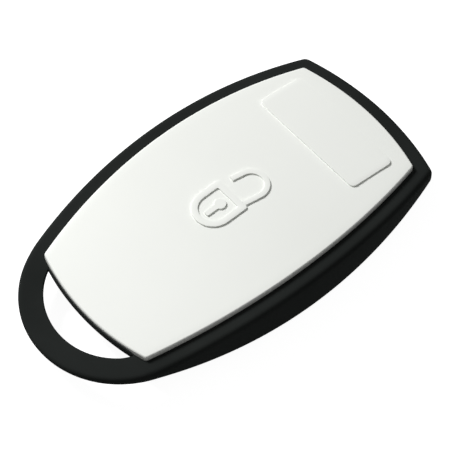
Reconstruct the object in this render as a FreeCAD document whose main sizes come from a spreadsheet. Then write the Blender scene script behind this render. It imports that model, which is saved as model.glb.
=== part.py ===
"""Transponder key fob: a barrel-shaped case whose whole front plate is the push button.

Millimetres. Z = 0 is the flat ring round the battery door, on which the fob rests,
and the origin is the centre of that ring. +Y runs to the wide end of the case,
-Y to the key-ring loop, and the plate presses down along -Z.
"""
import FreeCAD, Part
import math
import os
import Sketcher
from FreeCAD import Placement, Rotation, Vector

doc = FreeCAD.newDocument("KeyFob")
sheet = doc.addObject("Spreadsheet::Sheet", "Sizes")

# Driving dimensions: name, millimetres (or degrees), meaning
SIZES = (
    ("plate_half_width", 18.24, "half of the plate's greatest width"),
    ("side_radius", 106.2, "plan radius of the plate's long sides"),
    ("widest_at", 1.27, "y of the plate's greatest width"),
    ("end_radius", 46.75, "plan radius of the plate's two ends"),
    ("plate_wide_end", 32.23, "y of the plate's wide end"),
    ("plate_loop_end", 32.01, "distance from the origin back to the plate's loop end"),
    ("plate_corner", 0.7, "plan radius of the plate's corners"),
    ("crown_fall", 2.814, "fall of the lengthwise crown from the middle to the plate's wide end"),
    ("plate_wall", 1.2, "thickness of the plate's edge band"),
    ("plate_field", 1.0, "thickness of the plate inside the edge band"),
    ("plate_band", 3.4, "width of the plate's edge band"),
    ("plate_edge", 0.35, "bevel of the plate's top edge"),
    ("rim_side", 3.0, "case beyond the plate at the long sides"),
    ("rim_wide", 3.3, "case beyond the plate at the wide end"),
    ("end_wall", 0.3, "case beyond the plate at the loop end"),
    ("rim_drop", 0.95, "case rim below the plate's crown"),
    ("rim_edge", 0.6, "bevel of the case's upper edge"),
    ("belly_edge", 0.6, "bevel of the case's lower edge"),
    ("hole_flare", 1.4, "height and width of the bevel under the hole"),
    ("edge_share", 0.43, "most of the thinnest wall that one edge may take"),
    ("belly_rise", 2.964, "rise of the underside's curve from its lowest point to the wide end"),
    ("belly_at", 4.3, "y of the lowest point of the underside curve"),
    ("belly_low", 0.35, "height of the underside curve's lowest point"),
    ("loop_inset", 8.05, "centre of the loop's outer arc inside the plate's loop end"),
    ("loop_bar", 4.45, "width of the loop's bar beside the hole"),
    ("hole_shift", 0.15, "centre of the hole's arc beyond the centre of the loop's"),
    ("loop_drop", 4.5, "loop's top at its tip below the plate's crown"),
    ("loop_thick", 1.4, "thickness of the loop at its tip"),
    ("loop_slope", 3.6, "fall of the loop's top towards its tip, degrees"),
    ("loop_blend", 30.0, "radius where the rim's top runs into the loop's"),
    ("under_blend", 30.0, "radius where the underside runs into the loop's"),
    ("pocket_gap", 0.1, "gap round the front plate"),
    ("press_travel", 0.3, "travel of the front plate"),
    ("stop_gap", 0.05, "spare height under the pressed plate"),
    ("ledge_wall", 1.2, "thickness of the ledge under the plate's edge"),
    ("ledge_reach", 1.7, "ledge inwards of the plate's edge"),
    ("cavity_side", 0.2, "case cavity inwards of the plate's long sides"),
    ("cavity_wide", 2.4, "case cavity short of the plate's wide end"),
    ("cavity_loop", 7.2, "case cavity short of the plate's loop end"),
    ("cavity_corner", 2.0, "plan radius of the cavity's corners"),
    ("seat_width", 1.2, "width of the rear cover's seat round the cavity"),
    ("cover_wall", 1.4, "thickness of the rear cover"),
    ("cover_gap", 0.1, "gap round the rear cover"),
    ("seal_thick", 0.4, "thickness of the rear cover's gasket"),
    ("seal_inset", 0.25, "gasket short of the edges of its seat"),
    ("hook_gap", 0.15, "gap between the plate's hooks and the ledge"),
    ("hook_thick", 0.8, "thickness of a hook's stem"),
    ("hook_width", 4.0, "width of a hook"),
    ("hook_at", 8.0, "distance of the hooks from the middle of the plate"),
    ("barb_reach", 0.5, "reach of a hook's barb under the ledge"),
    ("barb_height", 0.6, "height of a hook's barb"),
    ("barb_gap", 0.05, "gap between a barb and the ledge"),
    ("rib_end", 7.6, "board ribs inside the board's wide end"),
    ("rib_back", 3.2, "board ribs inside the board's shoulder"),
    ("rib_width", 3.0, "width of a board rib"),
    ("rib_bite", 1.2, "reach of a rib over the circuit board's edge"),
    ("boss_side", 5.84, "screw bosses inside the plate's greatest half width"),
    ("boss_end", 3.83, "screw bosses inside the cavity's wide end"),
    ("boss_back", 3.31, "screw bosses inside the cavity's loop end"),
    ("boss_radius", 3.2, "radius of a screw boss"),
    ("screw_radius", 0.85, "radius of a screw's shank"),
    ("screw_head_radius", 1.6, "radius of a screw's head"),
    ("screw_head", 0.75, "height of a screw's head"),
    ("screw_bite", 1.9, "length of shank in the boss"),
    ("screw_recess", 0.3, "head below the cover's surface"),
    ("cover_pad", 0.5, "extra thickness of the cover under a screw boss"),
    ("pad_clear", 0.2, "cover pads smaller than the bosses that they meet"),
    ("screw_gap", 0.05, "gap round a screw"),
    ("cell_radius", 10.0, "radius of the coin cell"),
    ("cell_height", 3.2, "height of the coin cell"),
    ("cell_rim", 1.0, "width of the coin cell's rim round its smaller pole"),
    ("cell_step", 0.25, "height of the smaller pole over the rim"),
    ("cup_gap", 0.3, "gap between the coin cell and the door's cup"),
    ("cup_wall", 0.7, "wall of the door's cup"),
    ("door_flange", 1.0, "thickness of the battery door's flange"),
    ("door_floor", 1.5, "thickness of the battery door's floor"),
    ("flange_over", 0.3, "door's flange beyond the lug tips"),
    ("land_width", 2.5, "width of the flat ring that the fob rests on"),
    ("door_gap", 0.2, "gap round the door's flange"),
    ("neck_gap", 0.15, "gap round the door's cup"),
    ("lug_reach", 1.0, "reach of a bayonet lug"),
    ("lug_height", 0.7, "height of a bayonet lug"),
    ("lug_angle", 22.0, "width of a bayonet lug, degrees"),
    ("lug_gap", 0.05, "gap between a lug and the retaining ring"),
    ("lug_room", 0.3, "gap round a lug's tip"),
    ("notch_spare", 4.0, "notch wider than its lug, degrees"),
    ("door_turn", 45.0, "turn between the door's locked and free positions, degrees"),
    ("groove_height", 0.8, "height of the sealing ring's groove"),
    ("groove_width", 1.15, "width of the sealing ring's groove"),
    ("ring_thick", 0.8, "thickness of the retaining ring"),
    ("hub_over", 0.25, "battery socket's wall above the lugs"),
    ("slot_length", 12.0, "length of the coin slot in the door"),
    ("slot_width", 1.6, "width of the coin slot"),
    ("slot_depth", 0.7, "depth of the coin slot"),
    ("ring_gap", 0.08, "gap round the door's sealing ring"),
    ("leaf_room", 0.5, "height between the coin cell and the board"),
    ("board_thick", 0.8, "thickness of the circuit board"),
    ("board_side", 3.74, "board inside the plate's greatest half width"),
    ("board_end", 8.23, "board inside the cavity's wide end"),
    ("shoulder_back", 7.61, "board's shoulder inside the cavity's loop end"),
    ("tongue_half", 8.0, "half width of the board's tongue"),
    ("tongue_length", 5.8, "length of the board's tongue"),
    ("board_corner", 1.2, "plan radius of the board's corners"),
    ("board_gap", 0.05, "gap between the board and what holds it"),
    ("post_radius", 1.2, "radius of the posts under the board"),
    ("post_inset", 1.4, "posts inwards of the board's edge"),
    ("switch_half", 2.6, "half width of the push switch"),
    ("switch_height", 1.3, "height of the push switch's body"),
    ("switch_lid", 0.15, "thickness of the push switch's metal lid"),
    ("switch_wall", 0.5, "wall of the push switch's body"),
    ("switch_floor", 0.3, "floor of the push switch's body"),
    ("plunger_radius", 1.1, "radius of the switch plunger's stem"),
    ("plunger_foot", 1.7, "radius of the plunger's foot inside the switch"),
    ("plunger_gap", 0.15, "gap round the plunger's stem"),
    ("plunger_high", 0.5, "plunger over the switch's lid"),
    ("dome_gap", 0.15, "gap round the snap dome in the switch"),
    ("dome_rise", 0.35, "rise of the snap dome"),
    ("dome_thick", 0.08, "thickness of the snap dome"),
    ("pad_stand", 0.3, "plate's boss over the top of the plunger"),
    ("head_room", 1.05, "plate's inner face over the top of the plunger"),
    ("pad_radius", 2.0, "radius of the silicone pusher pad"),
    ("pad_seat", 0.35, "depth of the pad's socket in the plate"),
    ("pad_boss", 2.8, "radius of the boss round the pad's socket"),
    ("pad_gap", 0.05, "gap round the pad in its socket"),
    ("leaf_thick", 0.2, "thickness of the contact springs"),
    ("leaf_width", 4.0, "width of the contact springs"),
    ("leaf_half", 6.0, "half length of the negative contact's leaf"),
    ("leaf_pad", 2.0, "length of a contact's soldered foot"),
    ("leaf_flat", 1.5, "half length of the negative contact where it bears on the cell"),
    ("coil_half", 4.5, "half width of the low-frequency coil"),
    ("coil_height", 1.5, "height of the low-frequency coil"),
    ("coil_gap", 0.05, "gap between the winding and its core"),
    ("coil_flange", 0.35, "thickness of the coil core's end plates"),
    ("coil_core", 2.4, "radius of the coil core's middle"),
    ("coil_winding", 4.1, "radius of the copper winding"),
    ("coil_end", 5.4, "low-frequency coil inside the board's shoulder"),
    ("tag_half_x", 5.5, "half length of the transponder block"),
    ("tag_half_y", 2.5, "half width of the transponder block"),
    ("tag_height", 1.4, "height of the transponder block"),
    ("tag_end", 7.6, "transponder block inside the board's wide end"),
    ("controller_half", 2.5, "half width of the controller chip"),
    ("controller_height", 0.85, "height of the controller chip"),
    ("controller_side", 6.0, "controller chip inside the board's long edge"),
    ("controller_y", 4.0, "y of the controller chip"),
    ("radio_half", 2.0, "half width of the radio chip"),
    ("radio_height", 0.8, "height of the radio chip"),
    ("radio_side", 6.3, "radio chip inside the board's long edge"),
    ("radio_y", 4.5, "y of the radio chip"),
    ("crystal_half_x", 1.6, "half length of the crystal"),
    ("crystal_half_y", 1.25, "half width of the crystal"),
    ("crystal_height", 0.7, "height of the crystal"),
    ("crystal_side", 6.3, "crystal inside the board's long edge"),
    ("crystal_y", 0.2, "y of the crystal"),
    ("choke_half", 1.25, "half width of the power choke"),
    ("choke_height", 1.2, "height of the power choke"),
    ("choke_side", 5.9, "power choke inside the board's long edge"),
    ("choke_y", 2.4, "distance back to the power choke"),
    ("chip_length", 1.6, "length of a chip capacitor or resistor"),
    ("chip_width", 0.8, "width of a chip capacitor or resistor"),
    ("chip_pitch", 1.7, "pitch of the rows of chip capacitors and resistors"),
    ("capacitor_height", 0.8, "height of a chip capacitor"),
    ("resistor_height", 0.45, "height of a chip resistor"),
    ("row_side", 2.9, "rows of chips inside the board's long edges"),
    ("row_end", 5.2, "first chip of a row inside the board's shoulder"),
)


class Length:
    """A size of the sheet, or a sum, product or root of such sizes.

    It carries its number now, for a first placing, and the sheet expression that binds it.
    """

    def __init__(self, number, text):
        self.number = number
        self.text = text

    def __add__(self, other):
        other = length(other)
        return Length(self.number + other.number, "(%s + %s)" % (self.text, other.text))

    def __sub__(self, other):
        other = length(other)
        return Length(self.number - other.number, "(%s - %s)" % (self.text, other.text))

    def __mul__(self, other):
        other = length(other)
        return Length(self.number * other.number, "(%s * %s)" % (self.text, other.text))

    def __truediv__(self, other):
        other = length(other)
        return Length(self.number / other.number, "(%s / %s)" % (self.text, other.text))

    def __neg__(self):
        return Length(-self.number, "(0 - %s)" % self.text)

    def root(self):
        return Length(math.sqrt(self.number), "sqrt(%s)" % self.text)


def length(value):
    """Turn a plain number into a Length, and leave a Length as it is."""
    if isinstance(value, Length):
        return value
    return Length(float(value), "(%r)" % float(value))


class Sheet:
    """The named sizes, each read as an attribute."""


s = Sheet()
for row, (alias, value, meaning) in enumerate(SIZES, start=1):
    sheet.set("A%d" % row, meaning)
    sheet.set("B%d" % row, str(value))
    sheet.setAlias("B%d" % row, alias)
    setattr(s, alias, Length(value, "Sizes." + alias))
doc.recompute()

# Heights and depths that follow from the sizes
DOOR_CUP = s.cell_radius + s.cup_gap
DOOR_NECK = DOOR_CUP + s.cup_wall
LUG_TIP = DOOR_NECK + s.lug_reach
DOOR_RADIUS = LUG_TIP + s.flange_over
LAND_RADIUS = DOOR_RADIUS + s.door_gap + s.land_width
GROOVE_WALL = DOOR_NECK + s.groove_width
RING_LOW = s.door_flange + s.groove_height
RING_HIGH = RING_LOW + s.ring_thick
LUG_LOW = RING_HIGH + s.lug_gap
LUG_TOP = LUG_LOW + s.lug_height
HUB_TOP = LUG_TOP + s.hub_over
CELL_TOP = s.door_floor + s.cell_height
BOARD_LOW = CELL_TOP + s.leaf_room
BOARD_TOP = BOARD_LOW + s.board_thick
SWITCH_TOP = BOARD_TOP + s.switch_height + s.switch_lid
PLUNGER_TOP = SWITCH_TOP + s.plunger_high
FIELD_UNDER = PLUNGER_TOP + s.head_room
PLATE_TOP = FIELD_UNDER + s.plate_field
LEDGE_DEPTH = s.plate_wall + s.press_travel + s.stop_gap
LEDGE_UNDER = LEDGE_DEPTH + s.ledge_wall
SEAT_DEPTH = s.cover_wall + s.seal_thick
DOME_RADIUS = s.switch_half - s.switch_wall - s.dome_gap

# Places in plan that follow from the sizes
SIDE_FAR = s.side_radius - s.plate_half_width
LOOP_CENTRE = s.plate_loop_end - s.loop_inset
HOLE_CENTRE = LOOP_CENTRE + s.hole_shift
LOOP_RADIUS = s.side_radius + s.rim_side - (
    SIDE_FAR * SIDE_FAR + (LOOP_CENTRE + s.widest_at) * (LOOP_CENTRE + s.widest_at)
).root()
HOLE_RADIUS = LOOP_RADIUS - s.loop_bar
CAVITY_END = s.plate_wide_end - s.cavity_wide
CAVITY_BACK = s.plate_loop_end - s.cavity_loop
BOSS_X = s.plate_half_width - s.boss_side
BOSS_WIDE = CAVITY_END - s.boss_end
BOSS_LOOP = CAVITY_BACK - s.boss_back
BOARD_HALF = s.plate_half_width - s.board_side
BOARD_WIDE = CAVITY_END - s.board_end
BOARD_LOOP = CAVITY_BACK - s.shoulder_back
LOOP_TIP = PLATE_TOP - s.loop_drop
LOOP_UNDER = LOOP_TIP - s.loop_thick
WALL_RADIUS = s.end_radius + s.end_wall

# Radii of the two lengthwise curves, each from the height that it gains over the case's length
BELLY_REACH = s.plate_wide_end + s.rim_wide - s.belly_at
CROWN_RADIUS = (
    s.plate_wide_end * s.plate_wide_end + s.crown_fall * s.crown_fall) / (s.crown_fall * 2)
BELLY_RADIUS = (BELLY_REACH * BELLY_REACH + s.belly_rise * s.belly_rise) / (s.belly_rise * 2)

# Blanks reach past the case by this much, so that no cut ends in a face
SPARE = length(2.0)
BLANK_HALF = s.plate_half_width + s.rim_side + SPARE
BLANK_HIGH = PLATE_TOP + SPARE + SPARE


def bind(item, **sizes):
    """Bind properties of a feature to the sheet; two underscores stand for a dot."""
    for name, value in sizes.items():
        item.setExpression(name.replace("__", "."), length(value).text)
    return item


def place(item, x=0, y=0, z=0, turn=None):
    """Put a feature at a point that the sheet gives, turned first where that is asked."""
    x, y, z = length(x), length(y), length(z)
    spot = Vector(x.number, y.number, z.number)
    item.Placement = Placement(spot, turn if turn is not None else Rotation())
    return bind(item, Placement__Base__x=x, Placement__Base__y=y, Placement__Base__z=z)


def cylinder(name, radius, low, high, x=0, y=0, seam=0.0):
    """Upright round solid between two heights; seam turns its seam line away from use."""
    item = doc.addObject("Part::Cylinder", name)
    bind(item, Radius=radius, Height=length(high) - low)
    return place(item, x, y, low, Rotation(Vector(0, 0, 1), seam))


def box(name, x0, x1, y0, y1, z0, z1):
    """Box between two corners."""
    item = doc.addObject("Part::Box", name)
    bind(item, Length=length(x1) - x0, Width=length(y1) - y0, Height=length(z1) - z0)
    return place(item, x0, y0, z0)


def join(name, first, *others):
    """Fuse solids into one."""
    item = doc.addObject("Part::MultiFuse", name)
    item.Shapes = [first, *others]
    return item


def common(name, *parts):
    """Keep what all the solids share."""
    item = doc.addObject("Part::MultiCommon", name)
    item.Shapes = list(parts)
    return item


def cut(name, base, *tools):
    """Take solids away from a base, one after the other."""
    for index, tool in enumerate(tools):
        item = doc.addObject("Part::Cut", name if index == len(tools) - 1 else name + "_less")
        item.Base = base
        item.Tool = tool
        base = item
    return base


def crown(name, depth):
    """Cylinder along X whose top runs parallel to the plate's crown, depth below it."""
    item = doc.addObject("Part::Cylinder", name)
    bind(item, Radius=CROWN_RADIUS - depth, Height=BLANK_HALF * 2)
    return place(item, -BLANK_HALF, 0, PLATE_TOP - CROWN_RADIUS, Rotation(Vector(0, 1, 0), 90))


def belly(name, depth):
    """Cylinder along X whose underside runs parallel to the case's, depth inside it."""
    item = doc.addObject("Part::Cylinder", name)
    bind(item, Radius=BELLY_RADIUS - depth, Height=BLANK_HALF * 2)
    centre = s.belly_low + BELLY_RADIUS
    return place(item, BLANK_HALF, s.belly_at, centre, Rotation(Vector(0, 1, 0), -90))


def upright_edges(shape, least=0.5):
    """Numbers of the straight vertical edges of a shape."""
    found = []
    for number, edge in enumerate(shape.Edges, start=1):
        if edge.Curve.TypeId == "Part::GeomLine" and edge.Length > least:
            along = edge.Vertexes[1].Point - edge.Vertexes[0].Point
            if abs(along.z) > 0.999 * edge.Length:
                found.append(number)
    return found


def ease_edges(name, base, picked, radius, kind="Part::Fillet"):
    """Round or bevel the picked edges of a solid by one size."""
    item = doc.addObject(kind, name)
    item.Base = base
    item.Edges = [(number, radius.number, radius.number) for number in picked]
    return item


def barrel(name, side, wide, loop, corner):
    """Upright prism in the plate's plan outline, each side moved out by its own amount."""
    arcs = (
        (s.side_radius + side, -SIDE_FAR, s.widest_at, 180),
        (s.side_radius + side, SIDE_FAR, s.widest_at, 0),
        (s.end_radius + wide, 0, s.plate_wide_end - s.end_radius, 0),
        (s.end_radius + loop, 0, s.end_radius - s.plate_loop_end, 0),
    )
    rounds = [
        cylinder(name + "_arc", radius, -SPARE, BLANK_HIGH, x, y, seam)
        for radius, x, y, seam in arcs
    ]
    prism = common(name + "_prism", *rounds)
    doc.recompute()
    return ease_edges(name, prism, upright_edges(prism.Shape), corner)


def named(item, label):
    """Give a finished sub-part its name."""
    item.Label = label
    nodes.append(item)
    return item


nodes = []


def new_body(label):
    """A sub-part made by sketches and features."""
    item = doc.addObject("PartDesign::Body", label)
    item.Label = label
    return item


def sketch_on(body, name, role="XY_Plane", lift=0):
    """A sketch on one of the body's own origin planes, lifted along its normal."""
    sketch = body.newObject("Sketcher::SketchObject", name)
    plane = [item for item in body.Origin.OriginFeatures if item.Role == role][0]
    sketch.AttachmentSupport = (plane, [""])
    sketch.MapMode = "FlatFace"
    lift = length(lift)
    sketch.AttachmentOffset = Placement(Vector(0, 0, lift.number), Rotation())
    bind(sketch, AttachmentOffset__Base__z=lift)
    return sketch


def dimension(sketch, kind, *where, value):
    """A driving dimension of a sketch, bound to the sheet."""
    value = length(value)
    number = math.radians(value.number) if kind == "Angle" else value.number
    index = sketch.addConstraint(Sketcher.Constraint(kind, *where, number))
    sketch.setExpression("Constraints[%d]" % index, value.text)


def pin(sketch, geometry, point, x=None, y=None):
    """Fix a point of a sketch by its distances from the sketch's origin."""
    for kind, value in (("DistanceX", x), ("DistanceY", y)):
        if value is not None:
            dimension(sketch, kind, geometry, point, value=value)


def polygon(sketch, points):
    """A closed outline of straight edges through points that the sheet gives."""
    spots = [(length(x), length(y)) for x, y in points]
    corners = [Vector(x.number, y.number, 0) for x, y in spots]
    edges = []
    for start, end in zip(corners, corners[1:] + corners[:1]):
        edges.append(sketch.addGeometry(Part.LineSegment(start, end), False))
    for edge, follower, spot in zip(edges, edges[1:] + edges[:1], spots[1:] + spots[:1]):
        sketch.addConstraint(Sketcher.Constraint("Coincident", edge, 2, follower, 1))
        pin(sketch, follower, 1, *spot)
    return edges


def arc(sketch, x, y, radius, start, end):
    """An arc with its centre and radius from the sheet, between two angles in degrees."""
    x, y, radius = length(x), length(y), length(radius)
    ring = Part.Circle(Vector(x.number, y.number, 0), Vector(0, 0, 1), radius.number)
    span = Part.ArcOfCircle(ring, math.radians(start), math.radians(end))
    return sketch.addGeometry(span, False)


def turn(middle, spot):
    """Angle in degrees of the line from one point of a plane to another."""
    return math.degrees(math.atan2(spot.y - middle.y, spot.x - middle.x))


def meeting(first, first_radius, second, second_radius):
    """Where two circles cross, left of the line from the first's centre to the second's."""
    apart = (second - first).Length
    ahead = (second - first) * (1 / apart)
    along = (apart ** 2 + first_radius ** 2 - second_radius ** 2) / (2 * apart)
    square = math.sqrt(first_radius ** 2 - along ** 2)
    return first + ahead * along + Vector(-ahead.y, ahead.x, 0) * square


def pad(body, sketch, name, height, both_ways=False):
    """Raise a sketch into a solid."""
    item = body.newObject("PartDesign::Pad", name)
    item.Profile = sketch
    if both_ways:
        item.SideType = "Symmetric"
    return bind(item, Length=height)


def turned(label, profile):
    """A sub-part turned round the upright axis from one profile of radius and height."""
    body = new_body(label)
    sketch = sketch_on(body, label + "_profile", "XZ_Plane")
    polygon(sketch, profile)
    item = body.newObject("PartDesign::Revolution", label + "_turn")
    item.Profile = sketch
    item.ReferenceAxis = (sketch, ["V_Axis"])
    item.Angle = 360
    return body


# Case plan: half of the outline, with the loop's arc tangent to the long side, then its mirror
def case_plan():
    body = new_body("case_plan")
    half = sketch_on(body, "case_outline", lift=-SPARE)
    wide_y = s.plate_wide_end - s.end_radius
    wide_radius = s.end_radius + s.rim_wide
    side_radius = s.side_radius + s.rim_side
    wide_middle = Vector(0, wide_y.number, 0)
    side_middle = Vector(-SIDE_FAR.number, s.widest_at.number, 0)
    corner = meeting(side_middle, side_radius.number, wide_middle, wide_radius.number)
    bar_turn = turn(side_middle, Vector(0, -LOOP_CENTRE.number, 0))
    wide = arc(half, 0, wide_y, wide_radius, turn(wide_middle, corner), 90)
    side = arc(half, -SIDE_FAR, s.widest_at, side_radius, bar_turn, turn(side_middle, corner))
    loop = arc(half, 0, -LOOP_CENTRE, LOOP_RADIUS, -90, bar_turn)
    tip_y = -(LOOP_CENTRE + LOOP_RADIUS).number
    top_y = (s.plate_wide_end + s.rim_wide).number
    spine = half.addGeometry(Part.LineSegment(Vector(0, tip_y, 0), Vector(0, top_y, 0)), False)
    for index, x, y in ((wide, 0, wide_y), (side, -SIDE_FAR, s.widest_at), (loop, 0, -LOOP_CENTRE)):
        pin(half, index, 3, x, y)
    dimension(half, "Radius", wide, value=wide_radius)
    dimension(half, "Radius", side, value=side_radius)
    half.addConstraint(Sketcher.Constraint("Coincident", wide, 1, side, 2))
    half.addConstraint(Sketcher.Constraint("Tangent", side, 1, loop, 2))
    half.addConstraint(Sketcher.Constraint("Coincident", loop, 1, spine, 1))
    half.addConstraint(Sketcher.Constraint("Coincident", spine, 2, wide, 2))
    half.addConstraint(Sketcher.Constraint("PointOnObject", spine, 1, -2))
    half.addConstraint(Sketcher.Constraint("PointOnObject", spine, 2, -2))
    raised = pad(body, half, "case_half", BLANK_HIGH + SPARE)
    doc.recompute()
    mirror = body.newObject("PartDesign::Mirrored", "case_mirror")
    mirror.Originals = [raised]
    mirror.MirrorPlane = (half, ["V_Axis"])
    body.Tip = mirror
    doc.recompute()
    return body


# Key-ring hole: one arc towards the loop's tip, closed by the arc of the case's end wall
def cone(name, low_radius, top_radius, low, high, y):
    """Upright round solid that narrows or widens between two heights."""
    item = doc.addObject("Part::Cone", name)
    bind(item, Radius1=low_radius, Radius2=top_radius, Height=high - low)
    return place(item, 0, y, low)


def hole_tools():
    """The upright hole, and the bevel that widens it towards the underside of the loop."""
    wall_y = s.end_radius - s.plate_loop_end
    upright = cut("hole_upright",
                  cylinder("hole_arc", HOLE_RADIUS, -SPARE, BLANK_HIGH, 0, -HOLE_CENTRE),
                  cylinder("hole_wall", WALL_RADIUS, -SPARE, BLANK_HIGH, 0, wall_y))
    low, high = LOOP_UNDER - SPARE, LOOP_UNDER + s.hole_flare
    widen = s.hole_flare + SPARE
    flare = cut("hole_flare", cone("flare_arc", HOLE_RADIUS + widen, HOLE_RADIUS, low, high, -HOLE_CENTRE),
                cone("flare_wall", WALL_RADIUS - widen, WALL_RADIUS, low, high, wall_y))
    return upright, flare


# Case side view: crown over the plate, a flatter loop, and the belly running into the loop
def case_side():
    body = new_body("case_side")
    view = sketch_on(body, "case_side_view", "YZ_Plane")
    front = s.plate_wide_end + s.rim_wide + SPARE
    back = LOOP_CENTRE + LOOP_RADIUS + SPARE
    crown_z = PLATE_TOP - CROWN_RADIUS
    crown_r = CROWN_RADIUS - s.rim_drop
    belly_z = s.belly_low + BELLY_RADIUS
    crown_middle = Vector(0, crown_z.number, 0)
    belly_middle = Vector(s.belly_at.number, belly_z.number, 0)
    tip_top = Vector(-back.number, LOOP_TIP.number, 0)
    tip_low = Vector(-back.number, LOOP_UNDER.number, 0)

    # The blend's centre is its radius over the slant, and both radii from the crown's centre
    slope = math.radians(s.loop_slope.number)
    ahead = Vector(math.cos(slope), math.sin(slope), 0)
    upward = Vector(-math.sin(slope), math.cos(slope), 0)
    base = tip_top + upward * s.loop_blend.number - crown_middle
    reach = (crown_r + s.loop_blend).number
    run = -base.dot(ahead) - math.sqrt(base.dot(ahead) ** 2 - base.dot(base) + reach ** 2)
    blend_middle = crown_middle + base + ahead * run
    blend_end = blend_middle - upward * s.loop_blend.number
    blend_turn = math.atan2(-(base + ahead * run).y, -(base + ahead * run).x)

    def on_crown(y):
        return crown_z.number + math.sqrt(crown_r.number ** 2 - y ** 2)

    def on_belly(y):
        return belly_z.number - math.sqrt(BELLY_RADIUS.number ** 2 - (y - belly_middle.x) ** 2)

    front_top = Vector(front.number, on_crown(front.number), 0)
    front_low = Vector(front.number, on_belly(front.number), 0)

    # The lower blend's centre is its radius under the loop, and both radii from the belly's
    hollow_y = (LOOP_UNDER - s.under_blend).number
    apart = (BELLY_RADIUS + s.under_blend).number
    hollow_x = belly_middle.x - math.sqrt(apart ** 2 - (belly_middle.y - hollow_y) ** 2)
    hollow_middle = Vector(hollow_x, hollow_y, 0)
    flat_end = Vector(hollow_x, LOOP_UNDER.number, 0)

    top = arc(view, 0, crown_z, crown_r, turn(crown_middle, front_top),
              turn(crown_middle, blend_middle))
    ring = Part.Circle(blend_middle, Vector(0, 0, 1), s.loop_blend.number)
    span = Part.ArcOfCircle(ring, slope - math.pi / 2, blend_turn)
    blend = view.addGeometry(span, False)
    slant = view.addGeometry(Part.LineSegment(blend_end, tip_top), False)
    tip = view.addGeometry(Part.LineSegment(tip_top, tip_low), False)
    flat = view.addGeometry(Part.LineSegment(tip_low, flat_end), False)
    ring = Part.Circle(hollow_middle, Vector(0, 0, 1), s.under_blend.number)
    span = Part.ArcOfCircle(ring, math.radians(turn(hollow_middle, belly_middle)), math.pi / 2)
    hollow = view.addGeometry(span, False)
    under = arc(view, s.belly_at, belly_z, BELLY_RADIUS, turn(belly_middle, hollow_middle),
                turn(belly_middle, front_low))
    nose = view.addGeometry(Part.LineSegment(front_low, front_top), False)

    link = [
        ("Tangent", top, 2, blend, 2), ("Tangent", blend, 1, slant, 1),
        ("Coincident", slant, 2, tip, 1), ("Coincident", tip, 2, flat, 1),
        ("Tangent", flat, 2, hollow, 2), ("Tangent", hollow, 1, under, 1),
        ("Coincident", under, 2, nose, 1),
        ("Coincident", nose, 2, top, 1), ("Vertical", tip), ("Vertical", nose), ("Horizontal", flat),
    ]
    for kind, *where in link:
        view.addConstraint(Sketcher.Constraint(kind, *where))
    pin(view, top, 3, 0, crown_z)
    pin(view, under, 3, s.belly_at, belly_z)
    dimension(view, "Radius", top, value=crown_r)
    dimension(view, "Radius", under, value=BELLY_RADIUS)
    dimension(view, "Radius", blend, value=s.loop_blend)
    dimension(view, "Radius", hollow, value=s.under_blend)
    pin(view, slant, 2, -back, LOOP_TIP)
    pin(view, nose, 2, front, None)
    pin(view, flat, 2, None, LOOP_UNDER)
    dimension(view, "Angle", flat, 1, slant, 2, value=s.loop_slope)
    pad(body, view, "case_side_pad", BLANK_HALF * 2, both_ways=True)
    doc.recompute()
    return body


def belly_height(y):
    """Height of the case's underside at a distance along the case."""
    away = length(y) - s.belly_at
    return s.belly_low + BELLY_RADIUS - (BELLY_RADIUS * BELLY_RADIUS - away * away).root()


def wall_edges(shape, where):
    """Numbers of the level edges of every upright wall of a shape, where a test holds."""
    found = set()
    for face in shape.Faces:
        u0, u1, v0, v1 = face.ParameterRange
        if abs(face.normalAt((u0 + u1) / 2, (v0 + v1) / 2).z) > 0.01:
            continue
        for edge in face.Edges:
            ends = [vertex.Point for vertex in edge.Vertexes]
            if len(ends) == 2 and abs(ends[1].z - ends[0].z) > 0.999 * edge.Length:
                continue
            if where(edge.valueAt((edge.FirstParameter + edge.LastParameter) / 2)):
                found.update(n for n, other in enumerate(shape.Edges, start=1) if other.isSame(edge))
    return sorted(found)


def thin_edge(size):
    """A size of edge, held to its share of the case's thinnest walls, the loop and the nose."""
    nose_y = s.plate_wide_end + s.rim_wide
    nose_top = PLATE_TOP - CROWN_RADIUS + (
        (CROWN_RADIUS - s.rim_drop) * (CROWN_RADIUS - s.rim_drop) - nose_y * nose_y).root()
    nose = nose_top - belly_height(nose_y)
    return min(size, nose * s.edge_share, s.loop_thick * s.edge_share, key=lambda one: one.number)


def boss_places():
    """Centres of the four screw bosses."""
    return [(side, y) for y in (BOSS_WIDE, -BOSS_LOOP) for side in (BOSS_X, -BOSS_X)]


def rib_places():
    """Centres of the four ribs and posts that hold the circuit board by its long edges."""
    rows = (BOARD_WIDE - s.rib_end, s.rib_back - BOARD_LOOP)
    return [(side, y) for y in rows for side in (1, -1)]


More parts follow.
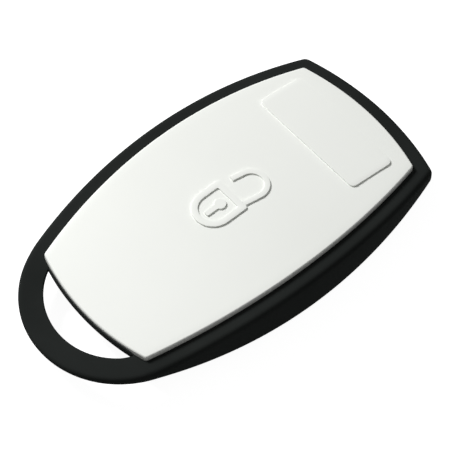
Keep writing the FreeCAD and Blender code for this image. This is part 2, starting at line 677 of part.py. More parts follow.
# Housing frame: the black moulding with the rim, the side wall, the ledge and the key-ring loop
def housing_frame():
    plan = case_plan()
    doc.recompute()
    shape = plan.Shape
    corners = [n for n in upright_edges(shape) if shape.Edges[n - 1].CenterOfMass.y > 0]
    rounded = ease_edges("case_corners", plan, corners, s.plate_corner + s.rim_side)
    eased = common("case_blank", rounded, case_side())
    doc.recompute()
    tip_high = (LOOP_UNDER + s.loop_thick / 2).number
    bevels = (
        ("belly_bevel", thin_edge(s.belly_edge), lambda spot: spot.z < tip_high),
        ("rim_bevel", thin_edge(s.rim_edge), lambda spot: spot.z > tip_high),
    )
    for name, size, where in bevels:
        eased = ease_edges(name, eased, wall_edges(eased.Shape, where), size, "Part::Chamfer")
        doc.recompute()
    drilled = cut("case_drilled", eased, *hole_tools())

    gap = s.pocket_gap
    pocket_tool = cut("pocket_tool", barrel("pocket", gap, gap, gap, s.plate_corner + gap),
                      crown("pocket_floor", LEDGE_DEPTH))
    reach = -s.ledge_reach
    opening_tool = cut("opening_tool", barrel("opening", reach, reach, reach, s.cavity_corner),
                       crown("opening_floor", LEDGE_UNDER))
    cavity_plan = barrel("cavity", -s.cavity_side, -s.cavity_wide, -s.cavity_loop, s.cavity_corner)
    cavity_tool = common("cavity_tool", cavity_plan, crown("cavity_roof", LEDGE_UNDER))
    grow = s.seat_width + s.cover_gap
    recess_plan = barrel("recess", grow - s.cavity_side, grow - s.cavity_wide,
                         grow - s.cavity_loop, s.cavity_corner + grow)
    recess_tool = cut("recess_tool", recess_plan, belly("recess_roof", SEAT_DEPTH))
    hollow = cut("case_hollow", drilled, pocket_tool, opening_tool, cavity_tool, recess_tool)

    bosses = [cylinder("boss", s.boss_radius, 0, PLATE_TOP, x, y) for x, y in boss_places()]
    boss_low = s.cover_wall + s.cover_pad
    boss_block = common("boss_block", join("boss_group", *bosses), crown("boss_top", LEDGE_DEPTH),
                        belly("boss_foot", boss_low),
                        barrel("boss_plan", 0, -s.cavity_wide, -s.cavity_loop, s.cavity_corner))
    ribs = []
    for side, y in rib_places():
        inner = BOARD_HALF - s.rib_bite
        x0, x1 = (inner, s.plate_half_width) if side > 0 else (-s.plate_half_width, -inner)
        half = s.rib_width / 2
        ribs.append(box("rib", x0, x1, y - half, y + half, BOARD_TOP + s.board_gap, PLATE_TOP))
    rib_block = common("rib_block", join("rib_group", *ribs), crown("rib_top", LEDGE_DEPTH),
                       barrel("rib_plan", 0, 0, 0, s.plate_corner))
    filled = join("case_filled", hollow, boss_block, rib_block)
    bores = []
    for x, y in boss_places():
        low = belly_height(y)
        top = low + boss_low + s.screw_bite + s.screw_gap
        bores.append(cylinder("bore", s.screw_radius + s.screw_gap, low, top, x, y))
    return named(cut("frame_bored", filled, join("bore_group", *bores)), "housing_frame")


# Front plate: a crowned shell with an edge band, four hooks under the ledge and the pusher's boss
def front_plate():
    layer = cut("plate_layer", common("plate_block", barrel("plate", 0, 0, 0, s.plate_corner),
                                      crown("plate_crown", 0)), crown("plate_under", s.plate_wall))
    doc.recompute()
    crown_centre = (PLATE_TOP - CROWN_RADIUS).number
    crown_middle = (CROWN_RADIUS - s.plate_wall / 2).number
    top_edges = wall_edges(layer.Shape, lambda spot: math.hypot(
        spot.y, spot.z - crown_centre) > crown_middle)
    shell = ease_edges("plate_shell", layer, top_edges, s.plate_edge, "Part::Chamfer")
    band = -s.plate_band
    field = common("field_tool", barrel("field", band, band, band, s.cavity_corner),
                   crown("field_roof", s.plate_field))
    hook_low = LEDGE_UNDER + s.barb_gap + s.barb_height
    outer = -(s.ledge_reach + s.hook_gap)
    inner = outer - s.hook_thick
    barb = outer + s.barb_reach
    half = s.hook_width / 2
    strips = [
        box("hook_strip", -BLANK_HALF, BLANK_HALF, y - half, y + half, 0, PLATE_TOP)
        for y in (s.hook_at, -s.hook_at)]
    stem_ring = cut("stem_ring", barrel("stem_out", outer, outer, outer, s.plate_corner),
                    barrel("stem_in", inner, inner, inner, s.plate_corner))
    barb_ring = cut("barb_ring", barrel("barb_out", barb, barb, barb, s.plate_corner),
                    barrel("barb_in", inner, inner, inner, s.plate_corner))
    barb_block = common("barb_block", barb_ring, crown("barb_top", LEDGE_UNDER + s.barb_gap))
    stem_block = common("stem_block", stem_ring, crown("stem_top", s.plate_field))
    hooks = cut("hook_tool", common("hook_group", join("hook_rings", stem_block, barb_block),
                                    join("hook_strips", *strips)), crown("hook_end", hook_low))
    boss_low = PLUNGER_TOP + s.pad_stand
    boss = cylinder("pusher_boss", s.pad_boss, boss_low, FIELD_UNDER + s.plate_field / 2)
    socket = cylinder("pusher_socket", s.pad_radius + s.pad_gap, boss_low, boss_low + s.pad_seat)
    body = join("plate_all", cut("plate_thinned", shell, field), hooks, boss)
    return named(cut("plate_socketed", body, socket), "front_plate")


# Battery socket in the rear cover: flange seat, sealing groove, retaining ring and lug room
def socket_bore():
    body = turned("socket_bore", (
        (0, -SPARE),
        (DOOR_RADIUS + s.door_gap, -SPARE),
        (DOOR_RADIUS + s.door_gap, s.door_flange),
        (GROOVE_WALL, s.door_flange),
        (GROOVE_WALL, RING_LOW),
        (DOOR_NECK + s.neck_gap, RING_LOW),
        (DOOR_NECK + s.neck_gap, RING_HIGH),
        (LUG_TIP + s.lug_room, RING_HIGH),
        (LUG_TIP + s.lug_room, HUB_TOP + SPARE),
        (0, HUB_TOP + SPARE),
    ))
    return body


def sector(name, radius, low, high, middle, width):
    """A slice of a disc, centred on an angle."""
    item = doc.addObject("Part::Cylinder", name)
    bind(item, Radius=radius, Height=length(high) - low, Angle=width)
    start = length(middle) - length(width) / 2
    place(item, 0, 0, low, Rotation(Vector(0, 0, 1), start.number))
    return bind(item, Placement__Rotation__Angle=start)


def lug_angles(first):
    """Middle angles of three evenly spaced lugs or notches."""
    return [first + Length(120.0 * k, "(%r)" % (120.0 * k)) for k in range(3)]


def rear_cover():
    grow = s.seat_width
    plan = barrel("cover", grow - s.cavity_side, grow - s.cavity_wide, grow - s.cavity_loop,
                  s.cavity_corner + grow)
    skin = cut("cover_skin", common("cover_block", plan, belly("cover_outside", 0)),
               belly("cover_inside", s.cover_wall))
    hub = cylinder("cover_hub", LAND_RADIUS, 0, HUB_TOP)
    pads = [
        cylinder("cover_pad", s.boss_radius - s.pad_clear, 0, PLATE_TOP, x, y)
        for x, y in boss_places()]
    pad_block = cut("pad_block", common("pad_inside", join("pad_group", *pads),
                                        barrel("pad_plan", -s.cavity_side - s.pad_clear,
                                               -s.cavity_wide - s.pad_clear,
                                               -s.cavity_loop - s.pad_clear, s.cavity_corner),
                                        belly("pad_foot", s.cover_wall / 2)),
                    belly("pad_top", s.cover_wall + s.cover_pad))
    posts = []
    for side, y in rib_places():
        x = BOARD_HALF - s.post_inset
        x = x if side > 0 else -x
        posts.append(cylinder("post", s.post_radius, 0, BOARD_LOW - s.board_gap, x, y))
    post_block = common("post_block", join("post_group", *posts), belly("post_foot", s.cover_wall / 2))
    body = join("cover_all", skin, hub, pad_block, post_block)
    notches = [
        sector("notch", LUG_TIP + s.lug_room, s.door_flange, HUB_TOP, middle,
               s.lug_angle + s.notch_spare)
        for middle in lug_angles(-s.door_turn)]
    holes = []
    for x, y in boss_places():
        low = belly_height(y)
        seat = low + s.screw_recess + s.screw_head
        holes.append(cylinder("head_hole", s.screw_head_radius + s.screw_gap, 0, seat, x, y))
        holes.append(cylinder("shank_hole", s.screw_radius + s.screw_gap, 0, BOARD_LOW, x, y))
    return named(cut("cover_holed", body, socket_bore(), join("notch_group", *notches),
                     join("hole_group", *holes)), "rear_cover")


# Gasket between the rear cover and its seat in the frame
def cover_seal():
    out = s.seat_width - s.seal_inset
    into = s.seal_inset
    outer = barrel("seal_out", out - s.cavity_side, out - s.cavity_wide, out - s.cavity_loop,
                   s.cavity_corner + out)
    inner = barrel("seal_in", into - s.cavity_side, into - s.cavity_wide, into - s.cavity_loop,
                   s.cavity_corner + into)
    ring = common("seal_ring", cut("seal_band", outer, inner), belly("seal_foot", s.cover_wall))
    return named(cut("seal_layer", ring, belly("seal_top", SEAT_DEPTH)), "cover_seal")


# Cover screws: a flat head sunk in the cover and a shank that ends in a frame boss
def cover_screws():
    screws = []
    for x, y in boss_places():
        low = belly_height(y) + s.screw_recess
        top = belly_height(y) + s.cover_wall + s.cover_pad + s.screw_bite
        head = cylinder("screw_head", s.screw_head_radius, low, low + s.screw_head, x, y)
        shank = cylinder("screw_shank", s.screw_radius, low, top, x, y)
        screws.append(join("screw", head, shank))
    return named(join("screw_group", *screws), "cover_screws")


# Battery door: a coin-slotted lid with a cup round the cell and three bayonet lugs
def battery_door():
    ease = s.door_flange / 4
    body = turned("door_turning", (
        (0, 0),
        (DOOR_RADIUS - ease, 0),
        (DOOR_RADIUS, ease),
        (DOOR_RADIUS, s.door_flange),
        (DOOR_NECK, s.door_flange),
        (DOOR_NECK, LUG_TOP),
        (DOOR_CUP, LUG_TOP),
        (DOOR_CUP, s.door_floor),
        (0, s.door_floor),
    ))
    slices = [
        sector("lug", LUG_TIP, LUG_LOW, LUG_TOP, middle, s.lug_angle)
        for middle in lug_angles(length(0))]
    middle = (DOOR_NECK + DOOR_CUP) / 2
    lugs = cut("lug_ring", join("lug_group", *slices), cylinder("lug_core", middle, 0, BOARD_LOW))
    long_half = s.slot_length / 2
    wide_half = s.slot_width / 2
    slot = box("coin_slot", -long_half, long_half, -wide_half, wide_half, 0, s.slot_depth)
    return named(cut("door_slotted", join("door_all", body, lugs), slot), "battery_door")


# Sealing ring of the battery door, in the groove round the cup
def door_seal_ring():
    inside, outside = DOOR_NECK + s.ring_gap, GROOVE_WALL - s.ring_gap
    low, high = s.door_flange + s.ring_gap, RING_LOW - s.ring_gap
    ease = (high - low) / 4
    return named(turned("door_ring", (
        (inside + ease, low), (outside - ease, low), (outside, low + ease), (outside, high - ease),
        (outside - ease, high), (inside + ease, high), (inside, high - ease), (inside, low + ease),
    )), "door_seal_ring")


# Coin cell: a can with its rim, and the smaller pole on top
def coin_cell():
    ease = s.cell_step
    shoulder = CELL_TOP - s.cell_step
    return named(turned("cell", (
        (0, s.door_floor),
        (s.cell_radius - ease, s.door_floor),
        (s.cell_radius, s.door_floor + ease),
        (s.cell_radius, shoulder),
        (s.cell_radius - s.cell_rim, shoulder),
        (s.cell_radius - s.cell_rim, CELL_TOP),
        (0, CELL_TOP),
    )), "coin_cell")


# Circuit board: a wide plate with a tongue between the two screw bosses at the loop end
def circuit_board():
    body = new_body("board")
    sketch = sketch_on(body, "board_outline", lift=BOARD_LOW)
    polygon(sketch, (
        (-BOARD_HALF, -BOARD_LOOP), (-s.tongue_half, -BOARD_LOOP),
        (-s.tongue_half, -(BOARD_LOOP + s.tongue_length)),
        (s.tongue_half, -(BOARD_LOOP + s.tongue_length)),
        (s.tongue_half, -BOARD_LOOP), (BOARD_HALF, -BOARD_LOOP),
        (BOARD_HALF, BOARD_WIDE), (-BOARD_HALF, BOARD_WIDE),
    ))
    raised = pad(body, sketch, "board_pad", s.board_thick)
    doc.recompute()
    rounding = body.newObject("PartDesign::Fillet", "board_corners")
    rounding.Base = (raised, ["Edge%d" % n for n in upright_edges(raised.Shape)])
    bind(rounding, Radius=s.board_corner)
    body.Tip = rounding
    return named(body, "circuit_board")


# Contact springs: strips bent from sheet and soldered to the board over the cell
def negative_contact():
    body = new_body("negative_leaf")
    half, foot, flat, gauge = s.leaf_half, s.leaf_pad, s.leaf_flat, s.leaf_thick
    under = ((-half, BOARD_LOW - gauge), (-half + foot, BOARD_LOW - gauge), (-flat, CELL_TOP),
             (flat, CELL_TOP), (half - foot, BOARD_LOW - gauge), (half, BOARD_LOW - gauge))
    over = tuple((x, z + gauge) for x, z in reversed(under))
    sketch = sketch_on(body, "negative_profile", "XZ_Plane")
    polygon(sketch, under + over)
    pad(body, sketch, "negative_strip", s.leaf_width, both_ways=True)
    return named(body, "negative_contact")


def positive_contact():
    body = new_body("positive_clip")
    gauge = s.leaf_thick
    near = s.cell_radius + s.board_gap / 2
    low = LUG_TOP + gauge
    sketch = sketch_on(body, "positive_profile", "YZ_Plane")
    polygon(sketch, (
        (near, low), (near + gauge, low), (near + gauge, BOARD_LOW - gauge),
        (near + gauge + s.leaf_pad, BOARD_LOW - gauge), (near + gauge + s.leaf_pad, BOARD_LOW),
        (near, BOARD_LOW),
    ))
    pad(body, sketch, "positive_strip", s.leaf_width, both_ways=True)
    return named(body, "positive_contact")


# Push switch under the middle of the plate: body, lid, plunger, snap dome and solder legs
def push_switch():
    half = s.switch_half
    high = BOARD_TOP + s.switch_height
    inside = half - s.switch_wall
    floor = BOARD_TOP + s.switch_floor
    block = box("switch_block", -half, half, -half, half, BOARD_TOP, high)
    room = box("switch_room", -inside, inside, -inside, inside, floor, high)
    named(cut("switch_shell", block, room), "switch_body")

    plate = box("switch_plate", -half, half, -half, half, high, SWITCH_TOP)
    eye = cylinder("switch_eye", s.plunger_radius + s.plunger_gap, high, SWITCH_TOP)
    named(cut("switch_lid", plate, eye), "switch_cover")

    dome_top = floor + s.dome_rise
    foot_top = high - s.stop_gap
    named(turned("plunger", (
        (0, dome_top + s.stop_gap),
        (s.plunger_foot, dome_top + s.stop_gap),
        (s.plunger_foot, foot_top),
        (s.plunger_radius, foot_top),
        (s.plunger_radius, PLUNGER_TOP),
        (0, PLUNGER_TOP),
    )), "switch_plunger")

    radius = (DOME_RADIUS * DOME_RADIUS + s.dome_rise * s.dome_rise) / (s.dome_rise * 2)
    outer = doc.addObject("Part::Sphere", "dome_outer")
    place(bind(outer, Radius=radius), 0, 0, dome_top - radius)
    inner = doc.addObject("Part::Sphere", "dome_inner")
    place(bind(inner, Radius=radius - s.dome_thick), 0, 0, dome_top - radius)
    cap = cylinder("dome_cap", DOME_RADIUS, floor, high)
    named(common("dome_trimmed", cut("dome_shell", outer, inner), cap), "switch_dome")

    legs = []
    for x_side in (1, -1):
        for y_side in (1, -1):
            x0, x1 = (half, half + s.chip_width) if x_side > 0 else (-half - s.chip_width, -half)
            y0, y1 = (inside - s.chip_width, inside) if y_side > 0 else (-inside, s.chip_width - inside)
            legs.append(box("switch_leg", x0, x1, y0, y1, BOARD_TOP, BOARD_TOP + s.switch_lid))
    named(join("switch_legs", *legs), "switch_terminals")

    pad_low = PLUNGER_TOP
    pad_high = PLUNGER_TOP + s.pad_stand + s.pad_seat
    named(cylinder("pusher", s.pad_radius, pad_low, pad_high), "pusher_pad")


# Low-frequency coil: a drum core with two square end plates and a copper winding between them
def wake_coil():
    half, y = s.coil_half, s.coil_end - BOARD_LOOP
    top = BOARD_TOP + s.coil_height
    low_plate = BOARD_TOP + s.coil_flange
    high_plate = top - s.coil_flange
    lower = box("core_lower", -half, half, y - half, y + half, BOARD_TOP, low_plate)
    upper = box("core_upper", -half, half, y - half, y + half, high_plate, top)
    middle = cylinder("core_middle", s.coil_core, BOARD_TOP, top, 0, y)
    named(join("core_all", lower, upper, middle), "coil_core")
    low, high = low_plate + s.coil_gap, high_plate - s.coil_gap
    named(cut("winding", cylinder("winding_outer", s.coil_winding, low, high, 0, y),
              cylinder("winding_inner", s.coil_core + s.coil_gap, low, high, 0, y)), "coil_winding")


def on_board(label, x, y, half_x, half_y, height):
    """A block soldered to the top of the circuit board."""
    x, y = length(x), length(y)
    block = box(label + "_block", x - half_x, x + half_x, y - half_y, y + half_y,
                BOARD_TOP, BOARD_TOP + height)
    return named(block, label)


def chip_row(label, side, count, height):
    """A row of small two-ended chips along one edge of the circuit board."""
    chips = []
    for k in range(count):
        x = BOARD_HALF - s.row_side if side > 0 else s.row_side - BOARD_HALF
        y = s.row_end - BOARD_LOOP + s.chip_pitch * k
        half_x, half_y = s.chip_length / 2, s.chip_width / 2
        chips.append(box(label + "_chip", x - half_x, x + half_x, y - half_y, y + half_y,
                         BOARD_TOP, BOARD_TOP + height))
    return named(join(label + "_row", *chips), label)


def electronics():
    on_board("transponder_block", 0, BOARD_WIDE - s.tag_end, s.tag_half_x, s.tag_half_y,
             s.tag_height)
    on_board("controller_chip", s.controller_side - BOARD_HALF, s.controller_y, s.controller_half,
             s.controller_half, s.controller_height)
    on_board("radio_chip", BOARD_HALF - s.radio_side, s.radio_y, s.radio_half, s.radio_half,
             s.radio_height)
    on_board("timing_crystal", BOARD_HALF - s.crystal_side, s.crystal_y, s.crystal_half_x,
             s.crystal_half_y, s.crystal_height)
    on_board("power_choke", s.choke_side - BOARD_HALF, -s.choke_y, s.choke_half, s.choke_half, s.choke_height)
    chip_row("chip_capacitors", 1, 6, s.capacitor_height)
    chip_row("chip_resistors", -1, 5, s.resistor_height)


housing_frame()
front_plate()
rear_cover()
cover_seal()
cover_screws()
battery_door()
door_seal_ring()
coin_cell()
circuit_board()
negative_contact()
positive_contact()
push_switch()
wake_coil()
electronics()
doc.recompute()

faults = [item.Name for item in doc.Objects if "Invalid" in item.State or "Error" in item.State]
if faults:
    raise RuntimeError("features that failed: " + ", ".join(faults))
for item in nodes:
    if item.Shape.isNull() or not item.Shape.isValid() or not item.Shape.Solids:
        raise RuntimeError("sub-part without a sound solid: " + item.Label)

os.makedirs("parts", exist_ok=True)
for item in nodes:
    item.Shape.exportStep("parts/%s.step" % item.Label)
    extent = item.Shape.optimalBoundingBox()
    print("%-18s %2d solids %9.2f mm3  z %6.2f to %6.2f" % (
        item.Label, len(item.Shape.Solids), item.Shape.Volume, extent.ZMin, extent.ZMax))
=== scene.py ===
import math

import bmesh
import bpy
import numpy as np
from mathutils import Matrix, Vector


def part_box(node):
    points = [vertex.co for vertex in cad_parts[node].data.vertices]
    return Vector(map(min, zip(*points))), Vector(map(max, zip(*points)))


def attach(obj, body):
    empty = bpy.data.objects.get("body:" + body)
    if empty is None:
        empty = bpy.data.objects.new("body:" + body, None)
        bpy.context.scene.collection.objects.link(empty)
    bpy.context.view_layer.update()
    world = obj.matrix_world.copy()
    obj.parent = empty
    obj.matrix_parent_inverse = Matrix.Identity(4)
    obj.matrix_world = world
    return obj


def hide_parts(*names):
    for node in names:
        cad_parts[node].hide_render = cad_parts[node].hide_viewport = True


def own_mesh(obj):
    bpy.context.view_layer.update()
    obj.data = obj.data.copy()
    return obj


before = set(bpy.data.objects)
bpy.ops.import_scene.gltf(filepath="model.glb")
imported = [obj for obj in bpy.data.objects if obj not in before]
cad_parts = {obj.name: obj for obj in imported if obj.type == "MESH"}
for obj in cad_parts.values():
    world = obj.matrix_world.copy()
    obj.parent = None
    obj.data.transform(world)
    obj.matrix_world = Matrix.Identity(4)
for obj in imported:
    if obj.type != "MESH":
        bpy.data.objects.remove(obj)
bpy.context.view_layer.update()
mm = 0.001

# The camera, level with the horizon, looks down on the fob from its right side and loop end.
# Its place is worked out from the direction, the distance and the point it looks at.
camera_azimuth = math.radians(49.179)
camera_elevation = math.radians(56.568)
camera_distance = 408.557 * mm
camera_target = Vector((3.467, -3.793, 9.65)) * mm
view_width = 452
focal_pixels = 2400

toward_camera = Vector((
    math.sin(camera_azimuth) * math.cos(camera_elevation),
    -math.cos(camera_azimuth) * math.cos(camera_elevation),
    math.sin(camera_elevation),
))
across_view = Vector((math.cos(camera_azimuth), math.sin(camera_azimuth), 0))
up_view = toward_camera.cross(across_view)
camera_data = bpy.data.cameras.new("camera")
camera_data.sensor_width = 36
camera_data.lens = camera_data.sensor_width * focal_pixels / view_width
camera_data.clip_start = 10 * mm
camera = bpy.data.objects.new("camera", camera_data)
aim = Matrix((across_view, up_view, toward_camera)).transposed()
camera_spot = camera_target + toward_camera * camera_distance
camera.matrix_world = Matrix.Translation(camera_spot) @ aim.to_4x4()
bpy.context.scene.collection.objects.link(camera)
bpy.context.scene.camera = camera

# White seamless studio floor. To the camera, and in reflections and glass, it looks clear
# white; to the object it is a plain grey surface, and the object's shadow falls on it.
floor_half = 900 * mm
floor_low = -0.01 * mm
floor_tone, floor_bright = 0.4, 0.408
floor_glow = 0.94


def seen_directly(nodes, links):
    """One where a ray comes from the camera, a mirror or glass: the greatest of three flags."""
    path = nodes.new("ShaderNodeLightPath")
    glossy = nodes.new("ShaderNodeMath")
    glossy.operation = "MAXIMUM"
    links.new(path.outputs["Is Camera Ray"], glossy.inputs[0])
    links.new(path.outputs["Is Glossy Ray"], glossy.inputs[1])
    either = nodes.new("ShaderNodeMath")
    either.operation = "MAXIMUM"
    links.new(glossy.outputs[0], either.inputs[0])
    links.new(path.outputs["Is Transmission Ray"], either.inputs[1])
    return either.outputs[0]


floor_paint = bpy.data.materials.new("floor_paint")
floor_paint.use_nodes = True
nodes, links = floor_paint.node_tree.nodes, floor_paint.node_tree.links
shader = nodes["Principled BSDF"]
shader.inputs["Roughness"].default_value = 0.9
shader.inputs["Specular IOR Level"].default_value = 0
place = nodes.new("ShaderNodeTexCoord")
mottle = nodes.new("ShaderNodeTexNoise")
mottle.inputs["Scale"].default_value = 3
links.new(place.outputs["Object"], mottle.inputs["Vector"])
tones = nodes.new("ShaderNodeValToRGB")
tones.color_ramp.elements[0].color = (floor_tone, floor_tone, floor_tone, 1)
tones.color_ramp.elements[1].color = (floor_bright, floor_bright, floor_bright, 1)
links.new(mottle.outputs["Fac"], tones.inputs["Fac"])
links.new(tones.outputs["Color"], shader.inputs["Base Color"])
glow = nodes.new("ShaderNodeMath")
glow.operation = "MULTIPLY"
glow.inputs[1].default_value = floor_glow
links.new(seen_directly(nodes, links), glow.inputs[0])
shader.inputs["Emission Color"].default_value = (1, 1, 1, 1)
links.new(glow.outputs[0], shader.inputs["Emission Strength"])

floor_corners = [
    (x * floor_half, y * floor_half, floor_low) for x, y in ((-1, -1), (1, -1), (1, 1), (-1, 1))]
floor_mesh = bpy.data.meshes.new("floor")
floor_mesh.from_pydata(floor_corners, [], [(0, 1, 2, 3)])
floor_mesh.materials.append(floor_paint)
floor = bpy.data.objects.new("floor", floor_mesh)
bpy.context.scene.collection.objects.link(floor)

# Studio light: an even surround, dim but white to look at, a broad soft box over the left of
# the picture, which leaves the fob's right-hand walls in shade, and a weak one on the right.
surround_light, surround_seen = 0.17, 1.0
soft_boxes = (
    ("key_box", Vector((-380, -60, 360)) * mm, 160 * mm, 3.2),
    ("fill_box", Vector((330, -60, 300)) * mm, 260 * mm, 0.06),
)

world = bpy.data.worlds.new("studio")
bpy.context.scene.world = world
world.use_nodes = True
nodes, links = world.node_tree.nodes, world.node_tree.links
sky = nodes["Background"]
sky.inputs["Color"].default_value = (1, 1, 1, 1)
strength = nodes.new("ShaderNodeMapRange")
strength.inputs["To Min"].default_value = surround_light
strength.inputs["To Max"].default_value = surround_seen
links.new(seen_directly(nodes, links), strength.inputs["Value"])
links.new(strength.outputs["Result"], sky.inputs["Strength"])
bpy.context.scene.view_settings.view_transform = "Standard"
for name, spot, width, watts in soft_boxes:
    lamp = bpy.data.lights.new(name, "AREA")
    lamp.shape = "SQUARE"
    lamp.size = width
    lamp.energy = watts
    holder = bpy.data.objects.new(name, lamp)
    holder.location = spot
    holder.rotation_euler = (camera_target - spot).to_track_quat("-Z", "Y").to_euler()
    bpy.context.scene.collection.objects.link(holder)

# Housing: the matt black moulding that carries everything, with the rim round the plate, the
# bowed side wall and the flat loop with its D-shaped hole. It is injection moulded in one
# piece, finely textured, and every outer edge of it is rounded.

# The plate's outline, which the rim follows, is three bowed arcs with small corners, and its
# crown is a long arc in side view.
plate_low, plate_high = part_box("front_plate")
crown_top = plate_high.z
side_radius = 106.2 * mm
end_radius = 46.75 * mm
widest_at = 1.27 * mm
plate_corner = 0.7 * mm
crown_fall = 2.814 * mm
crown_radius = (plate_high.y ** 2 + crown_fall ** 2) / (2 * crown_fall)
side_centre = (plate_high.x - side_radius, widest_at)
wide_centre = (0, plate_high.y - end_radius)
back_centre = (0, plate_low.y + end_radius)

# The rim round the plate, the pocket, the ledge and the cover's seat. Each inner outline lies
# outside the plate's by its own amounts at the sides, the wide end and the loop end.
rim_side = 3.0 * mm
rim_wide = 3.3 * mm
rim_drop = 0.95 * mm
pocket_gap = 0.1 * mm
end_wall = 0.3 * mm
wall_radius = end_radius + end_wall
ledge_depth = 1.55 * mm
ledge_under = 2.75 * mm
cover_depth = 1.8 * mm
recess_out = (1.1 * mm, -1.1 * mm, -5.9 * mm)
cavity_out = (-0.2 * mm, -2.4 * mm, -7.2 * mm)
opening_out = -1.7 * mm
case_corner = 1.5 * mm
recess_corner, inner_corner = 3.3 * mm, 2.0 * mm
rim_round, rim_share = 1.0 * mm, 0.42
belly_round, belly_share = 1.4 * mm, 0.5

# The belly is a long arc in side view, lowest a little ahead of the middle.
belly_at = 4.3 * mm
belly_low = 0.35 * mm
belly_rise = 2.964 * mm
belly_reach = plate_high.y + rim_wide - belly_at
belly_radius = (belly_reach ** 2 + belly_rise ** 2) / (2 * belly_rise)

# The loop slopes gently, its hole widens below, and a hollow arc runs the belly into it.
loop_centre = (0, plate_low.y + 8.05 * mm)
hole_centre = (0, loop_centre[1] - 0.15 * mm)
loop_radius = side_radius + rim_side - math.dist(side_centre, loop_centre)
hole_radius = loop_radius - 4.45 * mm
loop_high = crown_top - 4.5 * mm
loop_low = loop_high - 1.4 * mm
loop_rise = math.tan(math.radians(3.6))
loop_back = loop_centre[1] - loop_radius - 2 * mm
loop_melt = 0.03 * mm
melt_from = -20 * mm
under_blend = 30 * mm
blend_apart = belly_radius + under_blend
blend_fall = belly_low + belly_radius - loop_low + under_blend
blend_at = belly_at - math.sqrt(blend_apart ** 2 - blend_fall ** 2)
belly_back = belly_at + (blend_at - belly_at) * belly_radius / blend_apart
flare = 1.4 * mm
flare_high = loop_low + flare

end_points, notch_points, corner_points, side_points = 40, 8, 12, 64
face_rows = 7


def finish_of(name, low, high, roughness, grain, bump, metal=0.0, gloss=0.5, cloud=60):
    """A procedural finish: colour runs from low to high by a cloudy noise, the roughness
    wanders round its value by a share of it, and a grain noise lifts the surface."""
    spread = 0.06
    grain_high = 0.02 * mm
    material = bpy.data.materials.new(name)
    material.use_nodes = True
    nodes, links = material.node_tree.nodes, material.node_tree.links
    shader = nodes["Principled BSDF"]
    shader.inputs["Metallic"].default_value = metal
    shader.inputs["Specular IOR Level"].default_value = gloss
    place = nodes.new("ShaderNodeTexCoord")
    tone = nodes.new("ShaderNodeTexNoise")
    tone.inputs["Scale"].default_value = cloud
    tone.inputs["Detail"].default_value = 5
    links.new(place.outputs["Object"], tone.inputs["Vector"])
    ramp = nodes.new("ShaderNodeValToRGB")
    ramp.color_ramp.elements[0].position = 0.3
    ramp.color_ramp.elements[1].position = 0.7
    ramp.color_ramp.elements[0].color = (*low, 1)
    ramp.color_ramp.elements[1].color = (*high, 1)
    links.new(tone.outputs["Fac"], ramp.inputs["Fac"])
    links.new(ramp.outputs["Color"], shader.inputs["Base Color"])
    wander = nodes.new("ShaderNodeMapRange")
    wander.inputs["To Min"].default_value = roughness * (1 - spread)
    wander.inputs["To Max"].default_value = roughness * (1 + spread)
    links.new(tone.outputs["Fac"], wander.inputs["Value"])
    links.new(wander.outputs["Result"], shader.inputs["Roughness"])
    texture = nodes.new("ShaderNodeTexNoise")
    texture.inputs["Scale"].default_value = grain
    texture.inputs["Detail"].default_value = 2
    links.new(place.outputs["Object"], texture.inputs["Vector"])
    relief = nodes.new("ShaderNodeBump")
    relief.inputs["Strength"].default_value = bump
    relief.inputs["Distance"].default_value = grain_high
    links.new(texture.outputs["Fac"], relief.inputs["Height"])
    links.new(relief.outputs["Normal"], shader.inputs["Normal"])
    return material


def crossing(centre, radius, other_centre, other_radius, side):
    """Where two circles cross: along the line of centres by (d2 + r2 - s2) / 2d, then square
    to it by the rest of the radius, to the left of that line for side 1, else to the right."""
    centre, other_centre = np.array(centre), np.array(other_centre)
    apart = np.linalg.norm(other_centre - centre)
    ahead = (other_centre - centre) / apart
    along = (apart ** 2 + radius ** 2 - other_radius ** 2) / (2 * apart)
    square = math.sqrt(radius ** 2 - along ** 2)
    return centre + along * ahead + side * square * np.array((-ahead[1], ahead[0]))


def bearing(centre, spot):
    """Angle of the line from a centre to a spot."""
    return math.atan2(spot[1] - centre[1], spot[0] - centre[0])


def arc(centre, radius, start, end, count):
    """Points centre + radius (cos a, sin a) for even angles a, and their normals (cos a, sin a)."""
    angles = np.linspace(start, end, count)
    normals = np.column_stack((np.cos(angles), np.sin(angles)))
    return np.array(centre) + radius * normals, normals


def hole_half(out):
    """Right half of the hole's outline, moved out: its arc and the end wall's arc, each from
    the middle to the sharp corner where the two circles cross."""
    corner = crossing(hole_centre, hole_radius + out, back_centre, wall_radius - out, -1)
    middle = -math.pi / 2
    return (
        arc(hole_centre, hole_radius + out, middle, bearing(hole_centre, corner), end_points),
        arc(back_centre, wall_radius - out, middle, bearing(back_centre, corner), end_points))


hole_arc, wall_arc = hole_half(0)
notch_turn = bearing(back_centre, wall_arc[0][-1])


